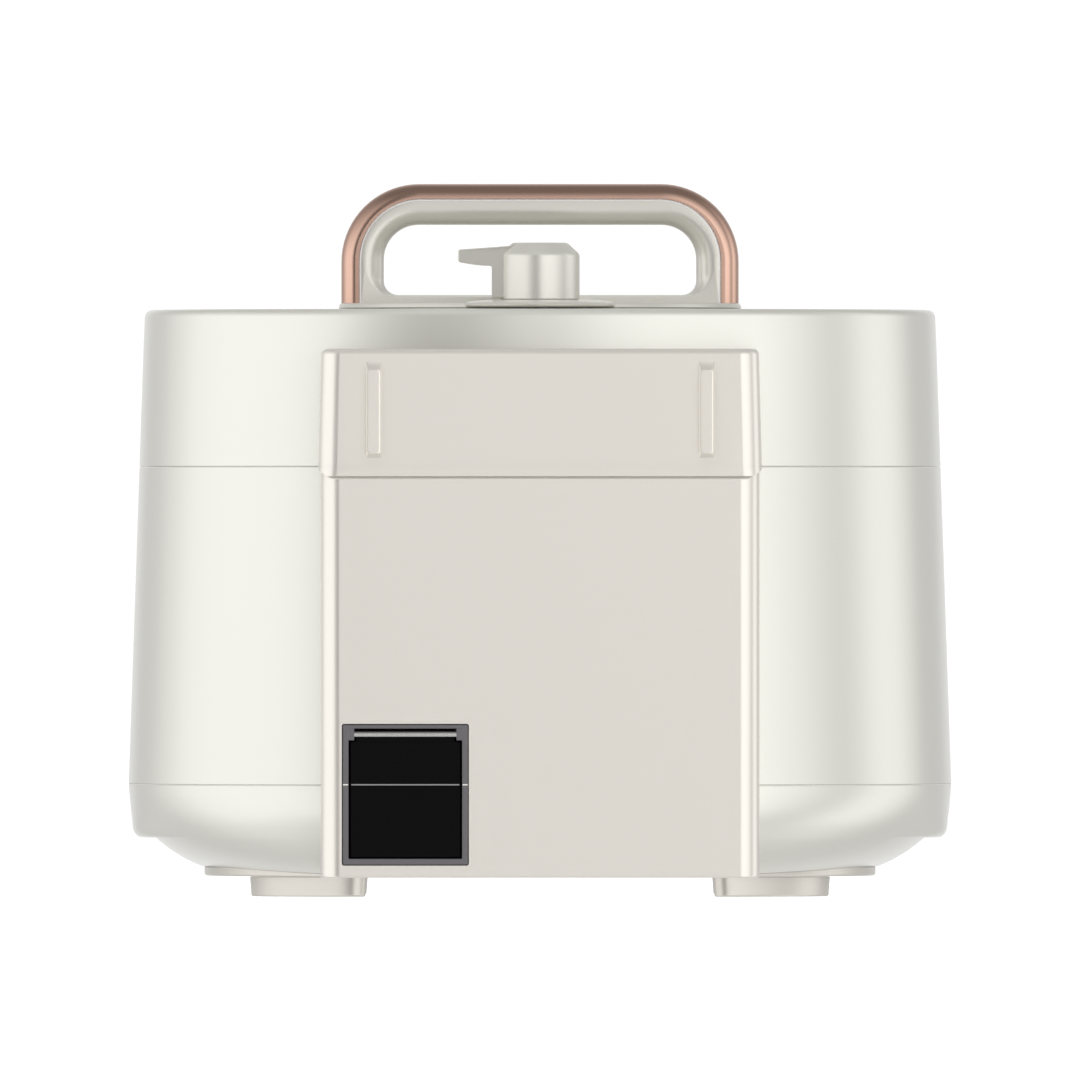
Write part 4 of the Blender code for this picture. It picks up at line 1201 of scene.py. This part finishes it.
@dataclass
class Valve(Assembly):
    """The steam valve's knob with its thumb lever."""

    y: float = 71.5
    radius: float = 17.6
    low: float = 264.75
    shoulder: float = 285.0
    top: float = 289.8
    lever_half: float = 7.5

    def knob(self) -> Piece:
        """Return the knob: an upright drum, a sloped shoulder and a flat cap."""
        r, shoulder = self.radius, self.shoulder
        rows = [(17.45, self.low), (r, self.low + 0.2), (r, shoulder - 1.2),
                (r - 0.25, shoulder - 0.3), (r - 0.9, shoulder + 0.5),
                (13.0, self.top - 0.9), (12.3, self.top - 0.35), (11.3, self.top - 0.05),
                (10.0, self.top)]
        piece = loft("fine_valve_knob", [circle_ring(q, z, 0.0, self.y, 128) for q, z in rows])
        combine(piece, self.lever(), Join.ADD)
        bore = [circle_ring(6.0, z, 0.0, self.y, 48) for z in (255, 275)]
        return cut_loft(piece, bore)

    def lever(self) -> Piece:
        """Return the thumb lever and the stem under it."""
        under = [(36.3, 286.3), (36.4, 282.0), (36.0, 281.3), (35.2, 281.0)]
        under += [(21.4 + 13.4 * (1 - t), 279.5 + 1.5 * (1 - t) ** 2) for t in
                  (0.25, 0.5, 0.75, 0.95)]
        side = [(9.0, 288.6), (11.2, 289.55), (12.2, 288.9), (13.6, 288.35), (24.0, 287.55),
                (35.4, 286.75)] + under + [(21.4, 279.0), (21.4, 265.2), (9.0, 265.2)]
        rings = []
        for inset, drop in bend(0.9, 4)[::-1] + bend(0.9, 4):
            first = len(rings) < 5
            depth = -self.lever_half + drop if first else self.lever_half - drop
            middle = (20.0, 281.0)
            shrink = [(u + (middle[0] - u) * inset * 0.035, v + (middle[1] - v) * inset * 0.07)
                      for u, v in side]
            taper = [(u, self.y + depth * (1.0 - 0.018 * max(0.0, u - 14.0)), v)
                     for u, v in shrink]
            rings.append([Vector(p) * MM for p in taper])
        return loft("lever", rings)

    def build(self, looks: Looks) -> None:
        """Build and dress the valve, and dress the float pin beside it."""
        self.add(self.knob(), "valve_knob", looks["grip"], 28.0)
        self.dress(["float_pin"], looks["stainless"])


@dataclass
class Vessel(Assembly):
    """What an open lid shows: the cooking pot, the lock ring and the frame round them."""

    ring_low: float = 172.0
    ring_top: float = 188.5
    ring_out: float = 127.5
    ring_wall: float = 124.5
    ring_lug: float = 116.5
    lug_low: float = 185.7
    lug_count: int = 6
    lug_deg: float = 26.0

    def pot(self) -> Piece:
        """Return the spun cooking pot with its flat rim."""
        rows = [(94.0, 36.0), (98.0, 36.3), (102.0, 37.6), (106.0, 40.4), (108.8, 44.2),
                (110.0, 49.0), (110.0, 174.6), (110.7, 175.3), (115.6, 175.3), (116.0, 175.7),
                (116.0, 176.2), (115.6, 176.6), (110.0, 176.6), (109.0, 175.9), (108.7, 174.6),
                (108.7, 49.4), (107.6, 45.2), (105.0, 41.6), (101.4, 38.9), (97.8, 37.6),
                (94.0, 37.3)]
        return loft("fine_inner_pot", [OVAL.circle(r, z) for r, z in rows])

    def ring(self) -> Piece:
        """Return the lock ring with the lugs that hold the pressure lid's teeth."""
        low, top, out = self.ring_low, self.ring_top, self.ring_out
        rows = [(113.1, low), (out, low), (out, top - 0.5), (out - 0.5, top),
                (self.ring_lug + 0.5, top), (self.ring_lug, top - 0.5),
                (self.ring_lug, self.lug_low), (self.ring_wall, self.lug_low),
                (self.ring_wall, 175.0), (113.1, 175.0)]
        piece = loft("fine_lock_ring", [OVAL.circle(r, z) for r, z in rows], Ends.JOINED)
        return notches(piece, self.lug_count, self.lug_deg, 0.0, 110.0, self.ring_wall, 180, 195)

    def top_frame(self) -> Piece:
        """Return the frame that closes the housing round the lock ring."""
        half = OVAL.half(186.0) - 3.3
        hole = self.ring_out + 0.5
        rings = [OVAL.ring(half, 183.5), OVAL.ring(half, 187.5), OVAL.circle(hole + 4.0, 187.5),
                 OVAL.circle(hole + 3.0, 188.3), OVAL.circle(hole + 0.6, 188.3),
                 OVAL.circle(hole, 187.8), OVAL.circle(hole, 183.5)]
        piece = loft("fine_top_frame", rings, Ends.JOINED)
        return HINGE.slots(piece, HINGE.slot, (112.0, 180), (150.0, 190))

    def build(self, looks: Looks) -> None:
        """Build and dress the inside."""
        self.add(self.pot(), "inner_pot", looks["stainless"])
        self.add(self.ring(), "lock_ring", looks["cast"])
        self.add(self.top_frame(), "top_frame", looks["liner"])
        self.dress(["heat_shield", "heating_plate"], looks["cast"])
        self.dress(["temperature_sensor", "sensor_spring"], looks["plated"])
        self.dress(["power_board", "control_board"], looks["board"])


@dataclass
class Front(Assembly):
    """The guessed front: a control panel with a display, a turning knob and four buttons."""

    half: float = 62.0
    low: float = 64.0
    high: float = 172.0
    radius: float = 16.0
    back: float = -129.5
    face: float = -144.5
    front: float = -157.0
    knob_z: float = 93.0
    knob_radius: float = 24.0
    spots: tuple[tuple[float, float], ...] = ((-45.0, 106.0), (45.0, 106.0), (-45.0, 81.0),
                                              (45.0, 81.0))
    key_size: tuple[float, float] = (18.0, 11.0)

    def pad(self, name: str, box: tuple[float, float, float, float], depths: tuple[float, float],
            radius: float, edge: float) -> Piece:
        """Return a rounded pad that faces the front.

        Args:
            name: the piece's name.
            box: low and high X, then low and high Z.
            depths: the back's and the face's Y.
            radius: the corners' radius.
            edge: the rounding of the face's edge.

        Returns:
            The pad.
        """
        u0, u1, v0, v1 = box
        back, face = depths
        rings = [lift(rounded(u0, u1, v0, v1, (radius,) * 4, 14), back, Axis.Y)]
        for i, drop in bend(edge, 5):
            flat = rounded(u0 + i, u1 - i, v0 + i, v1 - i, (max(radius - i, 0.3),) * 4, 14)
            rings.append(lift(flat, face + drop, Axis.Y))
        return loft(name, rings)

    def panel(self) -> Piece:
        """Return the panel with the knob's and the buttons' openings."""
        half, low, high = self.half, self.low, self.high
        piece = self.pad("fine_control_panel", (-half, half, low, high), (self.back, self.face),
                         self.radius, 2.0)
        hollow = rounded(-half + 3, half - 3, low + 3, high - 3, (self.radius - 3,) * 4, 14)
        cut(piece, hollow, self.face + 3.0, -120.0, Axis.Y)
        cut_loft(piece, [upright_ring(3.6, y, 0.0, self.knob_z) for y in (-160, -120)])
        wide, tall = self.key_size
        for x, z in self.spots:
            hole = rounded(x - wide / 2 - 0.3, x + wide / 2 + 0.3, z - tall / 2 - 0.3,
                           z + tall / 2 + 0.3, (tall / 2 + 0.25,) * 4, 12)
            cut(piece, hole, -160, -120, Axis.Y)
        for side in (-1, 1):
            x = side * (half - 8)
            combine(piece, block("post", (x - 2, -142.5, 114), (x + 2, -125.9, 122)), Join.ADD)
        return piece

    def ring(self) -> Piece:
        """Return the crowned ring round the knob."""
        base, r = self.face, self.knob_radius
        rows = [(r + 0.6, base - 0.3), (r + 4.8, base - 0.3), (r + 5.0, base - 0.6),
                (r + 4.9, base - 1.7), (r + 4.3, base - 2.6), (r + 3.0, base - 3.2),
                (r + 1.6, base - 3.45), (r + 0.9, base - 3.3), (r + 0.6, base - 2.9)]
        return loft("fine_knob_ring", [upright_ring(q, y, 0.0, self.knob_z) for q, y in rows],
                    Ends.JOINED)

    def knob(self) -> Piece:
        """Return the knob on its shaft, with a pointer notch."""
        base, front, r = self.face, self.front, self.knob_radius
        rows = [(3.0, -133.0), (3.0, base - 0.4), (r - 0.4, base - 0.4), (r, base - 0.8),
                (r - 0.5, front + 2.6), (r - 0.8, front + 1.4), (r - 1.5, front + 0.5),
                (r - 2.6, front + 0.05), (r - 3.6, front), (r - 4.4, front + 0.25),
                (r - 5.0, front + 0.35)]
        piece = loft("fine_control_knob", [upright_ring(q, y, 0.0, self.knob_z)
                                           for q, y in rows])
        notch = block("cutter", (-0.8, front - 2, self.knob_z + 12),
                      (0.8, front + 0.8, self.knob_z + 18.6))
        return combine(piece, notch)

    def build(self, looks: Looks) -> None:
        """Build and dress the front; the knob and the buttons move on their own."""
        self.add(self.panel(), "control_panel", looks["grip"])
        window = self.pad("fine_display_window", (-38, 38, 128, 160),
                          (self.face - 0.3, self.face - 1.5), 5.0, 0.5)
        self.add(window, "display_window", looks["screen"])
        self.add(self.ring(), "knob_ring", looks["copper"])
        self.body = "dial"
        self.add(self.knob(), "control_knob", looks["grip"])
        wide, tall = self.key_size
        for i, (x, z) in enumerate(self.spots, 1):
            self.body = f"key_{i}"
            box = (x - wide / 2, x + wide / 2, z - tall / 2, z + tall / 2)
            key = self.pad(f"fine_button_{i}", box, (-139.0, self.face - 1.8),
                           tall / 2 - 0.05, 0.9)
            self.add(key, f"button_{i}", looks["grip"])


@dataclass
class Studio:
    """The plain floor, the soft light and the camera."""

    middle_z: float = 158.05
    distance: float = 22.667
    lens: float = 1700.0
    floor_half: float = 4.0
    lamp_azimuth: float = 20.0
    lamp_out: float = 0.6
    lamp_height: float = 1.9
    lamp_side: float = 1.2
    lamp_watts: float = 18.0
    # Where the surround's strength changes: the first and last Z of a direction, and the
    # strength reached.
    caps: tuple[tuple[float, float, float], ...] = ((0.12, 0.88, 0.27), (-0.74, -1.0, 0.64))
    # Azimuth from the rear (+Y) towards the left side (+X), in degrees, and strength there.
    panels: tuple[tuple[float, float], ...] = (
        (-180, 1.05), (-165, 0.85), (-148, 0.6), (-128, 0.52), (-116, 1.0), (-105, 1.4),
        (-90, 1.4), (-82, 0.95), (-73, 0.6), (-64, 0.95), (-52, 1.4), (-40, 1.65), (-16, 1.7),
        (-5, 1.6), (0, 0.85), (5, 0.1), (17, 0.1), (27, 0.7), (40, 1.5), (80, 1.5),
        (100, 1.4), (118, 0.95), (135, 0.6), (150, 0.6), (165, 0.85), (180, 1.05))

    def floor(self) -> None:
        """Lay a plain white floor."""
        bpy.ops.object.select_all(action="DESELECT")
        bpy.ops.mesh.primitive_plane_add(size=2 * self.floor_half, location=(0, 0, -0.0002))
        floor = bpy.context.object
        floor.name = "floor"
        material = bpy.data.materials.new("white_floor")
        material.use_nodes = True
        shader = material.node_tree.nodes["Principled BSDF"]
        shader.inputs["Base Color"].default_value = linear("#F7F7F7")
        shader.inputs["Roughness"].default_value = 0.9
        shader.inputs["Emission Color"].default_value = linear("#FFFFFF")
        shader.inputs["Emission Strength"].default_value = 0.75
        floor.data.materials.append(material)
        floor.visible_glossy = floor.visible_diffuse = False

    def world(self) -> None:
        """Set a white surround whose soft panels and gaps shape the lacquer's highlights."""
        world = bpy.data.worlds.new("studio")
        world.use_nodes = True
        tree = world.node_tree
        ground = tree.nodes["Background"]
        ground.inputs["Color"].default_value = linear("#FFFFFF")
        place = add_node(tree, "ShaderNodeTexCoord").outputs["Generated"]
        split = add_node(tree, "ShaderNodeSeparateXYZ", None, {"Vector": place})
        turn = add_node(tree, "ShaderNodeMath", {"operation": "ARCTAN2"},
                        {0: split.outputs["X"], 1: split.outputs["Y"]})
        share = add_node(tree, "ShaderNodeMapRange",
                         {"From Min": -math.pi, "From Max": math.pi},
                         {"Value": turn.outputs["Value"]})
        ramp = add_node(tree, "ShaderNodeValToRGB", None, {"Fac": share.outputs["Result"]})
        ramp.color_ramp.interpolation = "EASE"
        stops = ramp.color_ramp.elements
        while len(stops) < len(self.panels):
            stops.new(0.5)
        for stop, (azimuth, strength) in zip(stops, self.panels):
            stop.position = azimuth / 360 + 0.5
            stop.color = (strength, strength, strength, 1.0)
        level = ramp.outputs["Color"]
        for start, end, strength in self.caps:
            steep = add_node(tree, "ShaderNodeMapRange", {"From Min": start, "From Max": end},
                             {"Value": split.outputs["Z"]})
            blend = add_node(tree, "ShaderNodeMix", {"data_type": "FLOAT"},
                             {0: steep.outputs["Result"], 2: level})
            blend.inputs[3].default_value = strength
            level = blend.outputs[0]
        seen = add_node(tree, "ShaderNodeLightPath")
        mix = add_node(tree, "ShaderNodeMix", {"data_type": "FLOAT"},
                       {0: seen.outputs["Is Camera Ray"], 2: level})
        mix.inputs[3].default_value = 1.05
        tree.links.new(mix.outputs[0], ground.inputs["Strength"])
        bpy.context.scene.world = world

    def lamp(self) -> None:
        """Hang a broad soft lamp above the rear, aimed at the object."""
        turn = math.radians(self.lamp_azimuth)
        data = bpy.data.lights.new("overhead", "AREA")
        data.shape = "RECTANGLE"
        data.size = data.size_y = self.lamp_side
        data.energy = self.lamp_watts
        lamp = bpy.data.objects.new("overhead", data)
        bpy.context.scene.collection.objects.link(lamp)
        lamp.location = (self.lamp_out * math.sin(turn), self.lamp_out * math.cos(turn),
                         self.lamp_height)
        lamp.visible_glossy = False
        aim = Vector((0, 0, 0.15)) - lamp.location
        lamp.rotation_euler = aim.to_track_quat("-Z", "Y").to_euler()

    def camera(self) -> None:
        """Stand a level, distant camera behind the object, with a long lens."""
        data = bpy.data.cameras.new("camera")
        data.lens = self.lens
        data.clip_end = 200.0
        camera = bpy.data.objects.new("camera", data)
        bpy.context.scene.collection.objects.link(camera)
        camera.location = (0, self.distance, self.middle_z * MM)
        camera.rotation_euler = (math.radians(90), 0, math.radians(180))
        bpy.context.scene.camera = camera

    def build(self) -> None:
        """Set the whole studio."""
        self.floor()
        self.world()
        self.lamp()
        self.camera()
        bpy.context.scene.view_settings.view_transform = "Standard"


def main() -> None:
    """Build every assembly, then the studio, and report the pieces."""
    logging.basicConfig(level=logging.INFO, format="%(name)s: %(message)s")
    looks = {key: finish.build() for key, finish in FINISHES.items()}
    for assembly in (Base("base"), RearHousing("base"), Inlet("base"), Lid("lid"),
                     Turntable("turntable"), Valve("valve"), Vessel("base"), Front("base")):
        assembly.build(looks)
        log.info("%s: %s", type(assembly).__name__, ", ".join(assembly.pieces))
    Studio().build()


if __name__ == "__main__":
    main()
